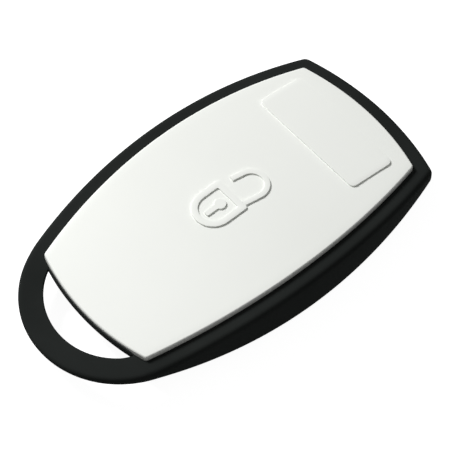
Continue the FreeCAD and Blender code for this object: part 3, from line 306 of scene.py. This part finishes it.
def barrel(side, wide, back, corner):
    """Right half of the plate's outline with its sides moved out by given amounts.

    Three bowed arcs meet at two corners. A corner is where the arcs, drawn in by its radius,
    cross, and its points stand off that crossing by the radius while the normal turns over.
    """
    back_reach, side_reach, wide_reach = end_radius + back, side_radius + side, end_radius + wide
    low = crossing(side_centre, side_reach - corner, back_centre, back_reach - corner, -1)
    high = crossing(side_centre, side_reach - corner, wide_centre, wide_reach - corner, 1)
    turns = bearing(back_centre, low), bearing(side_centre, low)
    ends = bearing(side_centre, high), bearing(wide_centre, high)
    return [
        arc(back_centre, back_reach, -math.pi / 2, notch_turn, end_points),
        arc(back_centre, back_reach, notch_turn, turns[0], notch_points),
        arc(low, corner, turns[0], turns[1], corner_points),
        arc(side_centre, side_reach, turns[1], ends[0], side_points),
        arc(high, corner, ends[0], ends[1], corner_points),
        arc(wide_centre, wide_reach, ends[1], math.pi / 2, end_points),
    ]


def both_sides(arcs):
    """Closed outline: the right half's arcs end to end, then the same mirrored in x."""
    points = np.vstack([spots for spots, normals in arcs])
    normals = np.vstack([normals for spots, normals in arcs])
    flip = np.array((-1, 1))
    return np.vstack((points, points[::-1] * flip)), np.vstack((normals, normals[::-1] * flip))


def crown(y, depth=0.0):
    """Height of a surface that runs depth below the plate's crown, a circle in side view."""
    return crown_top - crown_radius + np.sqrt((crown_radius - depth) ** 2 - y ** 2)


def rim_top(y):
    """Height of the rim: the crown's circle, then the loop's gentle slope; where they meet, a
    hyperbola, half the sum plus the root of half the difference squared plus a square."""
    over = crown(y, rim_drop)
    slope = loop_high + loop_rise * (y - loop_back)
    meet = (over + slope) / 2 + np.sqrt(((over - slope) / 2) ** 2 + loop_melt ** 2)
    return np.where(y > melt_from, over, meet)


def underside(y):
    """Height of the underside: a long circle in side view, a hollow circle that runs it into
    the loop, and the loop's flat."""
    belly = belly_low + belly_radius - np.sqrt(belly_radius ** 2 - (y - belly_at) ** 2)
    aside = np.clip(y - blend_at, 0, belly_back - blend_at)
    hollow = loop_low - under_blend + np.sqrt(under_blend ** 2 - aside ** 2)
    return np.where(y > belly_back, belly, hollow)


def ledge_top(y):
    """Height of the ledge under the plate's edge."""
    return crown(y, ledge_depth)


def ledge_foot(y):
    """Height of the ledge's lower face, which is also the cavity's roof."""
    return crown(y, ledge_under)


def course(outline, out, height, lift=0.0):
    """One row of a skin: an outline moved out along its normals, at a height that depends on
    y and is then lifted. out and lift are numbers, or one number for each column."""
    points, normals = outline
    plan = points + normals * np.reshape(out, (-1, 1))
    return np.column_stack((plan, height(plan[:, 1]) + lift))


def rounding(outline, radius, height, into, rise, steps=9):
    """Rows of a quarter round from level to upright, for angles t: sideways by r (1 - sin t) and
    upward by r (1 - cos t), each with its own sign."""
    rows = []
    for turn in np.linspace(0, math.pi / 2, steps):
        out = into * radius * (1 - math.sin(turn))
        rows.append(course(outline, out, height, rise * radius * (1 - math.cos(turn))))
    return rows


def between(first, last, height):
    """Rows that run straight in plan from one row to another, each at its own height."""
    rows = []
    for share in np.linspace(0, 1, face_rows)[1:-1]:
        plan = first[:, :2] + (last - first)[:, :2] * share
        rows.append(np.column_stack((plan, height(plan[:, 1]))))
    return rows


def shell(name, sheets, material, body, sharp=35):
    """One smooth mesh from sheets of points, riding on a body. Neighbouring rows and columns of a
    sheet are joined by quads, a closed sheet's last column to its first, and meeting points are
    merged. Edges that bend by more than sharp degrees stay crisp."""
    points, faces, start = [], [], 0
    for sheet, closed in sheets:
        rows, columns = sheet.shape[:2]
        index = start + np.arange(rows * columns).reshape(rows, columns)
        if closed:
            index = np.hstack((index, index[:, :1]))
        corners = (index[:-1, :-1], index[:-1, 1:], index[1:, 1:], index[1:, :-1])
        faces.append(np.stack(corners, axis=-1).reshape(-1, 4))
        points.append(sheet.reshape(-1, 3))
        start += rows * columns
    mesh = bpy.data.meshes.new(name)
    mesh.from_pydata(np.concatenate(points).tolist(), [], np.concatenate(faces).tolist())
    melt = bmesh.new()
    melt.from_mesh(mesh)
    bmesh.ops.remove_doubles(melt, verts=melt.verts, dist=0.002 * mm)
    bmesh.ops.recalc_face_normals(melt, faces=melt.faces)
    melt.to_mesh(mesh)
    melt.free()
    mesh.polygons.foreach_set("use_smooth", np.ones(len(mesh.polygons), bool))
    mesh.set_sharp_from_angle(angle=math.radians(sharp))
    mesh.materials.append(material)
    piece = bpy.data.objects.new(name, mesh)
    bpy.context.scene.collection.objects.link(piece)
    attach(piece, body)
    return piece


bar_turn = bearing(side_centre, loop_centre)
nose = crossing(side_centre, side_radius + rim_side - case_corner,
                wide_centre, end_radius + rim_wide - case_corner, 1)
hole_turn = bearing(hole_centre, wall_arc[0][-1])
case_outline = both_sides([
    arc(loop_centre, loop_radius, -math.pi / 2, hole_turn, end_points),
    arc(loop_centre, loop_radius, hole_turn, bar_turn, notch_points + corner_points),
    arc(side_centre, side_radius + rim_side, bar_turn, bearing(side_centre, nose), side_points),
    arc(nose, case_corner, bearing(side_centre, nose), bearing(wide_centre, nose), corner_points),
    arc(wide_centre, end_radius + rim_wide, bearing(wide_centre, nose), math.pi / 2, end_points),
])
pocket = barrel(pocket_gap, pocket_gap, pocket_gap, plate_corner + pocket_gap)
recess = barrel(*recess_out, recess_corner)
cavity = barrel(*cavity_out, inner_corner)
opening = barrel(opening_out, opening_out, opening_out, inner_corner)

# The mouth is the hole's arc and the rest of the pocket's edge. Its rounding fades out at the
# hole's sharp corners, where the thin lip behind the plate's loop end starts.
mouth = both_sides([hole_arc] + pocket[1:])
hole_edge, pocket_edge = 0.3 * mm, 0.12 * mm
fade_points = 6
column = np.arange(len(mouth[0]) // 2)
hole_fade = np.clip((end_points - 1 - column) / fade_points, 0, 1)
pocket_fade = np.clip((column - end_points) / fade_points, 0, 1)
half_edge = hole_edge * hole_fade + pocket_edge * pocket_fade
mouth_edge = np.hstack((half_edge, half_edge[::-1]))
thickness = rim_top(case_outline[0][:, 1]) - underside(case_outline[0][:, 1])
rim_edge = np.minimum(rim_round, rim_share * thickness)
belly_edge = np.minimum(belly_round, belly_share * thickness)
inner_lip = rounding(mouth, mouth_edge, rim_top, 1, -1)
outer_lip = rounding(case_outline, rim_edge, rim_top, -1, -1)
outer_foot = rounding(case_outline, belly_edge, underside, -1, 1)
lower_mouth = course(both_sides([hole_half(flare)[0]] + recess[1:]), 0, underside)
skin = (
    inner_lip[::-1] + between(inner_lip[0], outer_lip[0], rim_top) + outer_lip
    + outer_foot[::-1] + between(outer_foot[0], lower_mouth, underside) + [lower_mouth])

# The hole's wall is short and widens below at 45 degrees, softly at both ends: out and down
# follow a small quarter turn, a straight run, and the same quarter turn mirrored.
soft = 0.3 * mm
flare_turns = np.linspace(0, math.pi / 4, 5)
bend_out, bend_down = soft * (1 - np.cos(flare_turns)), soft * np.sin(flare_turns)
widen = np.hstack((bend_out, flare - bend_down[::-1]))
sink = np.hstack((bend_down, flare - bend_out[::-1]))
arc_wall = [inner_lip[-1][:end_points]]
chord_wall = [course(wall_arc, 0, rim_top)]
for out, down in zip(widen, sink):
    flared = hole_half(out)
    for wall, half in ((arc_wall, flared[0]), (chord_wall, flared[1])):
        wall.append(np.column_stack((half[0], np.full(end_points, flare_high - down))))
arc_wall[-1][:, 2] = underside(arc_wall[-1][:, 1])
chord_wall[-1][:, 2] = underside(chord_wall[-1][:, 1])
chord_wall.append(course(recess[0], 0, underside))

# Between the pocket and the hole the end wall stands up as a thin lip, higher than the rim
# beside it. Its height fades to nothing at the hole's corners by a quarter sine.
lip_rise = 0.45 * mm
lip_points = 8
lip_share = np.clip(np.arange(end_points)[::-1] / lip_points, 0, 1)
lip_fade = lip_rise * np.sin(math.pi / 2 * lip_share)
lip = [
    course(pocket[0], 0, rim_top), course(pocket[0], 0, rim_top, lip_fade),
    course(wall_arc, 0, rim_top, lip_fade), course(wall_arc, 0, rim_top)]


def mirrored(rows):
    """Rows of the right half joined to the same rows mirrored in x, as one sheet."""
    rows = np.array(rows)
    return np.concatenate((rows[:, ::-1] * (-1, 1, 1), rows), axis=1)


# The inside from the cover's seat up to the pocket: seat, cavity, ledge and pocket wall. Its last
# row meets the skin's first, so it drops by the pocket's edge as the skin does.
half_drop = np.hstack((np.zeros(end_points), pocket_edge * pocket_fade[end_points:]))
pocket_drop = np.hstack((half_drop, half_drop[::-1]))
inside = [
    course(both_sides(recess), 0, underside),
    course(both_sides(recess), 0, underside, cover_depth),
    course(both_sides(cavity), 0, underside, cover_depth),
    course(both_sides(cavity), 0, ledge_foot),
    course(both_sides(opening), 0, ledge_foot),
    course(both_sides(opening), 0, ledge_top),
    course(both_sides(pocket), 0, ledge_top),
    course(both_sides(pocket), 0, rim_top, -pocket_drop),
]

# Four bosses take the cover's screws, and four ribs press on the board's long edges. Both are
# moulded with the wall and end a little below the ledge.
boss_radius = 3.2 * mm
boss_low = 1.9 * mm
bore_radius = 0.9 * mm
bore_deep = 1.95 * mm
screw_spots = [(x * mm, y * mm) for y in (26.0, -21.5) for x in (12.4, -12.4)]
rib_in, rib_out = 13.3 * mm, 17.6 * mm
rib_at = 14.0 * mm
rib_half = 1.5 * mm
rib_low = 6.05 * mm
sunk = 0.05 * mm
round_points = 48


def turned(profile, x=0.0, y=0.0):
    """A profile of (radius, height) turned round an upright line: x + r cos a, y + r sin a."""
    angles = np.linspace(0, 2 * math.pi, round_points, endpoint=False)
    radius, height = np.array(profile, dtype=float).T
    return np.stack((
        x + radius[:, None] * np.cos(angles),
        y + radius[:, None] * np.sin(angles),
        np.repeat(height[:, None], round_points, axis=1)), axis=-1)


def topped(sheet):
    """A sheet with its heights held below the ledge, so that its top follows the crown."""
    sheet[:, :, 2] = np.minimum(sheet[:, :, 2], ledge_top(sheet[:, :, 1]) - sunk)
    return sheet


def boss(x, y):
    """A screw boss: a turned post with a blind bore, its foot cut along the underside's curve."""
    roof = underside(y) + boss_low + bore_deep
    post = turned((
        (0, crown_top), (boss_radius, crown_top), (boss_radius, 0), (bore_radius, 0),
        (bore_radius, roof), (0, roof)), x, y)
    post[:, :, 2] = np.maximum(post[:, :, 2], underside(post[:, :, 1]) + boss_low)
    return topped(post)


def block(left, right, back, front, low, high):
    """An upright block: rows of its four corners, closed onto its middle below and above."""
    corners = np.array(((left, back), (right, back), (right, front), (left, front)))
    middle = np.broadcast_to(corners.mean(axis=0), (4, 2))
    return np.array([
        np.column_stack((plan, np.full(4, height)))
        for plan, height in ((middle, low), (corners, low), (corners, high), (middle, high))])


fittings = [(boss(x, y), True) for x, y in screw_spots]
for y in (rib_at, -rib_at):
    rib = topped(block(rib_in, rib_out, y - rib_half, y + rib_half, rib_low, crown_top))
    fittings += [(rib, True), (rib * (-1, 1, 1), True)]

black_plastic = finish_of(
    "black_plastic", (0.0138, 0.0156, 0.0148), (0.0206, 0.0230, 0.0220), 0.85, 6000, 0.6,
    gloss=0.02)
housing_sheets = [
    (np.array(skin), True), (np.array(inside), True),
    (mirrored(arc_wall), False), (mirrored(chord_wall), False), (mirrored(lip), False),
] + fittings
housing = shell("housing", housing_sheets, black_plastic, "housing")
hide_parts("housing_frame")

# Front plate: the white push plate that fills the rim. It is moulded in satin white plastic
# with a rounded edge band and a thinner field; four hooks snap it under the ledge, and a boss
# in the middle holds the silicone pad that meets the switch.
plate_wall = 1.2 * mm
plate_field = 1.0 * mm
plate_band = -3.4 * mm
plate_edge = 0.3 * mm
hook_out = -1.85 * mm
hook_in = -2.65 * mm
barb_out = -1.35 * mm
barb_high = 2.8 * mm
hook_low = 3.4 * mm
hook_root = 0.9 * plate_field
hook_slope = 0.3 * mm
heart_in = 0.2 * mm
hook_at = 8.0 * mm
hook_half = 2.0 * mm
pusher_low = 8.25 * mm
pusher_roof = 8.6 * mm
pusher_radius = 2.8 * mm
pusher_bore = 2.05 * mm
pusher_root = crown_top - plate_field / 2
spine_rows = 14


def to_spine(row, height, middle=0.0):
    """Rows that close a face: a row's x shrinks by even steps to its middle line while y stays,
    so that its left and right halves meet there."""
    rows = []
    for share in np.linspace(1, 0, spine_rows)[1:]:
        plan = np.column_stack((middle + (row[:, 0] - middle) * share, row[:, 1]))
        rows.append(np.column_stack((plan, height(plan[:, 1]))))
    return rows


def field_under(y):
    """Height of the plate's inner face."""
    return crown(y, plate_field)


def band_under(y):
    """Height of the edge band's lower face."""
    return crown(y, plate_wall)


def carried(profile, stations, middle):
    """A profile of (distance, depth) carried along y at given stations, closed at both ends
    onto a middle point: x is the long side's arc at that y, moved out by the distance, and the
    height is the crown's less the depth."""
    rows = []
    distance, depth = np.vstack((profile, middle)).T
    for y, share in stations:
        side_x = side_centre[0] + np.sqrt((side_radius + distance) ** 2 - (y - widest_at) ** 2)
        ring = np.column_stack((side_x, np.full(len(side_x), y), crown(y) - depth))
        rows.append(ring[-1] + (ring[:-1] - ring[-1]) * share)
    return np.array(rows)


plate_outline = both_sides(barrel(0, 0, 0, plate_corner))
field_outline = both_sides(barrel(plate_band, plate_band, plate_band, inner_corner))
edge_rows = rounding(plate_outline, plate_edge, crown, -1, -1)
field_row = course(field_outline, 0, field_under)
band_rows = [course(plate_outline, 0, band_under), course(field_outline, 0, band_under)]
plate_skin = (
    to_spine(edge_rows[0], crown)[::-1] + edge_rows + band_rows
    + [field_row] + to_spine(field_row, field_under))

hook_profile = np.array((
    (hook_out, hook_root), (hook_out, barb_high), (barb_out, barb_high),
    (barb_out, hook_low - hook_slope), (barb_out - hook_slope, hook_low), (hook_in, hook_low),
    (hook_in, hook_root)))
hook_heart = (hook_out - heart_in, barb_high + heart_in)
hooks = []
for y in (hook_at, -hook_at):
    back, front = y - hook_half, y + hook_half
    stations = ((back, 0), (back, 1), (y, 1), (front, 1), (front, 0))
    hook = carried(hook_profile, stations, hook_heart)
    hooks += [(hook, True), (hook * (-1, 1, 1), True)]
pusher_boss = turned((
    (0, pusher_roof), (pusher_bore, pusher_roof), (pusher_bore, pusher_low),
    (pusher_radius, pusher_low), (pusher_radius, pusher_root), (0, pusher_root)))

white_plastic = finish_of(
    "white_plastic", (0.835, 0.850, 0.812), (0.870, 0.885, 0.847), 0.42, 5000, 0.25,
    gloss=0.3, cloud=25)
plate_sheets = [(np.array(plate_skin), True), (pusher_boss, True)] + hooks
plate = shell("push_plate", plate_sheets, white_plastic, "plate")
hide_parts("front_plate")

# Name panel: a shallow raised panel with rounded corners near the wide end, moulded in one
# with the plate of the same white plastic. It is left bare.
panel_left, panel_right = -12.7 * mm, 11.6 * mm
panel_back, panel_front = 18.0 * mm, 27.5 * mm
panel_corner = 1.0 * mm
relief_high = 0.29 * mm
relief_edge = 0.04 * mm
relief_sunk = 0.1 * mm
bend_points = 9


def round_corners(corners, radii):
    """Closed outline through corners with their own radii, anticlockwise: each corner becomes
    an arc about the point that stands its radius off both of its edges."""
    points, normals = [], []
    corners = np.array(corners, dtype=float)
    for k, radius in enumerate(radii):
        before = corners[k] - corners[k - 1]
        after = corners[(k + 1) % len(corners)] - corners[k]
        first = np.array((before[1], -before[0])) / np.hypot(*before)
        last = np.array((after[1], -after[0])) / np.hypot(*after)
        centre = corners[k] - (first + last) * radius / (1 + first @ last)
        start = math.atan2(first[1], first[0])
        spots, outward = arc(centre, radius, start, start + math.acos(first @ last), bend_points)
        points.append(spots)
        normals.append(outward)
    return np.vstack(points), np.vstack(normals)


def lifted(amount):
    """Height of a surface that runs over the plate's crown by an amount."""
    return lambda y: crown(y) + amount


def raised(outline, middle):
    """Rows of a low raised form on the plate: its foot a little inside the plate, an upright
    wall, a small round, and a top that follows the crown and closes on its middle line."""
    top = rounding(outline, relief_edge, lifted(relief_high), -1, -1, steps=5)
    foot = course(outline, 0, lifted(-relief_sunk))
    rows = to_spine(top[0], lifted(relief_high), middle)[::-1] + top + [foot]
    return np.array(rows + to_spine(foot, lifted(-relief_sunk), middle))


panel_outline = round_corners(
    ((panel_left, panel_back), (panel_right, panel_back),
     (panel_right, panel_front), (panel_left, panel_front)),
    [panel_corner] * 4)
panel_rows = raised(panel_outline, (panel_left + panel_right) / 2)
shell("name_panel", [(panel_rows, True)], white_plastic, "plate", sharp=50)

# Padlock sign: a low raised drawing in the middle of the plate, moulded with it. It is a band
# round the lock's body, a keyhole inside that, and a shackle that swings open to one side.
lock_x = -0.5 * mm
body_top = 1.3 * mm
body_out, body_in = 3.83 * mm, 2.65 * mm
body_bend = -3.25 * mm
body_inner_top = 0.1 * mm
body_corner, body_inner_corner = 0.5 * mm, 0.4 * mm
key_x = -0.35 * mm
key_head = -1.8 * mm
key_radius = 1.05 * mm
stem_half = 0.5 * mm
stem_low = -5.05 * mm
stem_corner = 0.2 * mm
shackle_centre = np.array((0.05, 4.96)) * mm
shackle_lean = math.radians(9)
shackle_radius = 2.75 * mm
shackle_half = 0.5 * mm
shackle_feet = -3.3 * mm, -2.4 * mm
bow_points = 33


def body_band(half, top, corner):
    """Outline of the lock's body: straight sides and top, and a half round foot."""
    foot = body_bend - half
    return round_corners(
        ((lock_x - half, foot), (lock_x + half, foot), (lock_x + half, top), (lock_x - half, top)),
        (half, half, corner, corner))


outer = body_band(body_out, body_top, body_corner)
inner = body_band(body_in, body_inner_top, body_inner_corner)
outer_round = rounding(outer, relief_edge, lifted(relief_high), -1, -1, steps=5)
inner_round = rounding(inner, relief_edge, lifted(relief_high), 1, -1, steps=5)
outer_foot_row = course(outer, 0, lifted(-relief_sunk))
inner_foot_row = course(inner, 0, lifted(-relief_sunk))
lock_rows = np.array(
    [outer_foot_row] + outer_round[::-1] + inner_round + [inner_foot_row, outer_foot_row])
shell("lock_body", [(lock_rows, True)], white_plastic, "plate", sharp=50)

key_turn = math.acos(stem_half / key_radius)
key_plan, key_normals = both_sides([
    arc((stem_half - stem_corner, stem_low + stem_corner), stem_corner, -math.pi / 2, 0, 7),
    arc((0, key_head), key_radius, -key_turn, math.pi / 2, 25),
])
key_rows = raised((key_plan + (key_x, 0), key_normals), key_x)
shell("lock_keyhole", [(key_rows, True)], white_plastic, "plate", sharp=50)


def shackle_path():
    """Middle line of the shackle and its outward normals: a half turn and two straight legs,
    leaning by an angle. The open leg is shorter than the one that stays in the body."""
    bow, outward = arc((0, 0), shackle_radius, 0, math.pi, bow_points)
    feet = np.array(((shackle_radius, shackle_feet[0]), (-shackle_radius, shackle_feet[1])))
    spots = np.vstack((feet[:1], bow, feet[1:]))
    normals = np.vstack((outward[:1], outward, outward[-1:]))
    lean = np.array(((math.cos(shackle_lean), -math.sin(shackle_lean)),
                     (math.sin(shackle_lean), math.cos(shackle_lean))))
    return shackle_centre + spots @ lean, normals @ lean


# The shackle is a strip: its section is carried along the path, and its first and last rows
# shrink to the path itself, which closes the ends.
edge_turns = np.linspace(0, math.pi / 2, 5)
strip_side = np.column_stack((
    shackle_half - relief_edge * (1 - np.cos(edge_turns)),
    relief_high - relief_edge * (1 - np.sin(edge_turns))))
strip_half = np.vstack(((shackle_half, -relief_sunk), strip_side))
strip_reach, strip_lift = np.vstack((strip_half, strip_half[::-1] * (-1, 1))).T
path, path_normals = shackle_path()
stops = [0, *range(len(path)), -1]
shares = np.array([0, *[1] * len(path), 0])[:, None]
strip_out = (strip_reach * shares)[:, :, None]
strip_plan = path[stops][:, None] + path_normals[stops][:, None] * strip_out
strip = np.dstack((strip_plan, crown(strip_plan[:, :, 1]) + strip_lift * shares))
shell("lock_shackle", [(strip, True)], white_plastic, "plate", sharp=50)

# Pusher pad: a small silicone disc glued in the plate's boss, which takes up the play between
# the plate and the switch.
grey_silicone = finish_of("grey_silicone", (0.33, 0.34, 0.35), (0.37, 0.38, 0.39), 0.6, 3000, 0.2)


def dress(names, material):
    """Give nodes of the frame one finish over their whole surface, in place of their own."""
    for name in names:
        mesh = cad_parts[name].data
        mesh.materials.clear()
        mesh.materials.append(material)


dress(["pusher_pad"], grey_silicone)

# Push switch: a moulded body with a sheet-metal lid, a plunger, a snap dome and four legs, all
# soldered to the middle of the board.
chip_epoxy = finish_of("chip_epoxy", (0.02, 0.02, 0.022), (0.03, 0.03, 0.032), 0.6, 6000, 0.5)
spring_steel = finish_of(
    "spring_steel", (0.58, 0.57, 0.54), (0.66, 0.65, 0.62), 0.3, 5000, 0.2, metal=1.0)
can_metal = finish_of(
    "can_metal", (0.55, 0.55, 0.53), (0.65, 0.65, 0.63), 0.3, 5000, 0.2, metal=1.0)
dress(["switch_body", "switch_plunger"], chip_epoxy)
dress(["switch_cover", "switch_terminals"], can_metal)
dome_low, dome_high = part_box("switch_dome")
dome_rise = dome_high.z - dome_low.z
dome_ball = (dome_high.x ** 2 + dome_rise ** 2) / (2 * dome_rise)
dome_thick = 0.08 * mm
dome_points = 12


def cap(radius):
    """Half section of a round cap from its top to its foot: height is the ball's centre plus
    the root of radius squared less reach squared."""
    centre = dome_high.z - dome_ball
    reach = np.linspace(0, math.sqrt(radius ** 2 - (dome_low.z - centre) ** 2), dome_points)
    return np.column_stack((reach, centre + np.sqrt(radius ** 2 - reach ** 2)))


dome_section = np.vstack((cap(dome_ball), cap(dome_ball - dome_thick)[::-1]))
dome = shell("snap_dome", [(turned(dome_section), True)], spring_steel, "housing")
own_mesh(dome)
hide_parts("switch_dome")

# Circuit board: a sheet of green glass laminate. The housing's ribs hold it down, and it
# carries the switch, the chips, the coil and the cell's contacts.
board_laminate = finish_of(
    "board_laminate", (0.02, 0.13, 0.06), (0.03, 0.18, 0.08), 0.3, 3000, 0.3)
dress(["circuit_board"], board_laminate)

# Chips on the board: moulded controller, radio and transponder, a crystal in a metal can, a
# ferrite choke, and small ceramic capacitors and resistors, all soldered flat.
dress(["controller_chip", "radio_chip", "transponder_block", "chip_resistors"], chip_epoxy)
dress(["timing_crystal"], can_metal)
ferrite = finish_of("ferrite", (0.05, 0.047, 0.047), (0.08, 0.075, 0.075), 0.65, 5000, 0.5)
ceramic = finish_of("ceramic", (0.30, 0.22, 0.15), (0.38, 0.29, 0.20), 0.5, 5000, 0.3)
dress(["power_choke"], ferrite)
dress(["chip_capacitors"], ceramic)

# Transponder coil: a ferrite bobbin wound with lacquered copper wire and soldered to the board.
# It takes up the reader's field.
copper = finish_of("copper", (0.65, 0.30, 0.13), (0.76, 0.38, 0.18), 0.3, 8000, 0.5, metal=1.0)
dress(["coil_core"], ferrite)
dress(["coil_winding"], copper)

# Cell contacts: two strips of spring steel, stamped and bent. They are soldered to the board
# and press on the coin cell.
dress(["positive_contact", "negative_contact"], spring_steel)

# Coin cell: a flat battery in a crimped steel can. It lies in the battery door's cup, and the
# contacts press on it.
cell_steel = finish_of(
    "cell_steel", (0.62, 0.62, 0.60), (0.70, 0.70, 0.68), 0.28, 5000, 0.2, metal=1.0)
dress(["coin_cell"], cell_steel)

# Rear cover: a moulded back of black plastic with the bayonet socket for the battery door. Four
# screws draw it up into its seat in the housing.
cover_plastic = finish_of(
    "cover_plastic", (0.0132, 0.0146, 0.0141), (0.0196, 0.0216, 0.0207), 0.8, 4500, 0.6, gloss=0.03)
dress(["rear_cover"], cover_plastic)

# Gasket and seal ring: soft black rubber. The gasket is squeezed between cover and housing, the
# ring round the battery door's cup.
black_rubber = finish_of(
    "black_rubber", (0.02, 0.02, 0.02), (0.028, 0.028, 0.028), 0.7, 5000, 0.3)
dress(["cover_seal", "door_seal_ring"], black_rubber)

# Cover screws: four steel screws with flat heads and a cross recess, driven up through the
# cover into the housing's bosses.
head_radius = 1.6 * mm
head_high = 0.75 * mm
head_edge = 0.12 * mm
head_sunk = 0.3 * mm
shank_radius = 0.85 * mm
shank_end = 3.8 * mm
thread_deep = 0.16 * mm
thread_pitch = 0.6 * mm
thread_rows = 30
arm_long, arm_half = 0.95 * mm, 0.275 * mm
recess_deep = 0.45 * mm
recess_share = 0.6


def cross(angles, share):
    """Reach of a cross-shaped recess at given angles: the greater reach of its two bars, each
    min(long / |cos a|, half / |sin a|), times a share."""
    level, upright = np.abs(np.cos(angles)) + 1e-9, np.abs(np.sin(angles)) + 1e-9
    return share * np.maximum(np.minimum(arm_long / level, arm_half / upright),
                              np.minimum(arm_long / upright, arm_half / level))


def screw(x, y):
    """One screw from its recess up to its tip. The thread's radius falls off by the distance of
    height / pitch - angle / turn from a whole number and a half."""
    bend = math.atan2(arm_half, arm_long)
    even = np.linspace(0, math.pi / 2, 8, endpoint=False)
    quarter = np.sort(np.concatenate((even, (bend, math.pi / 2 - bend))))
    angles = np.concatenate([quarter + math.pi / 2 * k for k in range(4)])
    low = underside(y) + head_sunk
    neck, tip = low + head_high, underside(y) + shank_end
    whole = np.ones(len(angles))
    rows = [
        (0 * whole, low + recess_deep), (cross(angles, recess_share), low + recess_deep),
        (cross(angles, 1), low), ((head_radius - head_edge) * whole, low),
        (head_radius * whole, low + head_edge), (head_radius * whole, neck),
        (shank_radius * whole, neck)]
    for height in np.linspace(neck, tip - shank_radius / 2, thread_rows)[1:]:
        turn = (height / thread_pitch - angles / (2 * math.pi)) % 1
        rows.append((shank_radius - thread_deep * np.abs(2 * turn - 1), height))
    rows.append((0 * whole, tip))
    return np.array([
        np.column_stack((x + reach * np.cos(angles), y + reach * np.sin(angles), height * whole))
        for reach, height in rows])


screw_steel = finish_of(
    "screw_steel", (0.20, 0.20, 0.21), (0.28, 0.28, 0.29), 0.35, 5000, 0.3, metal=1.0)
screw_rows = [(screw(x, y), True) for x, y in screw_spots]
screws = shell("screws", screw_rows, screw_steel, "housing", sharp=40)
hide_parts("cover_screws")

# Battery door: a round bayonet door moulded of the cover's plastic, with a coin slot outside
# and a cup for the cell inside. It turns 45 degrees between locked and free.
dress(["battery_door"], cover_plastic)
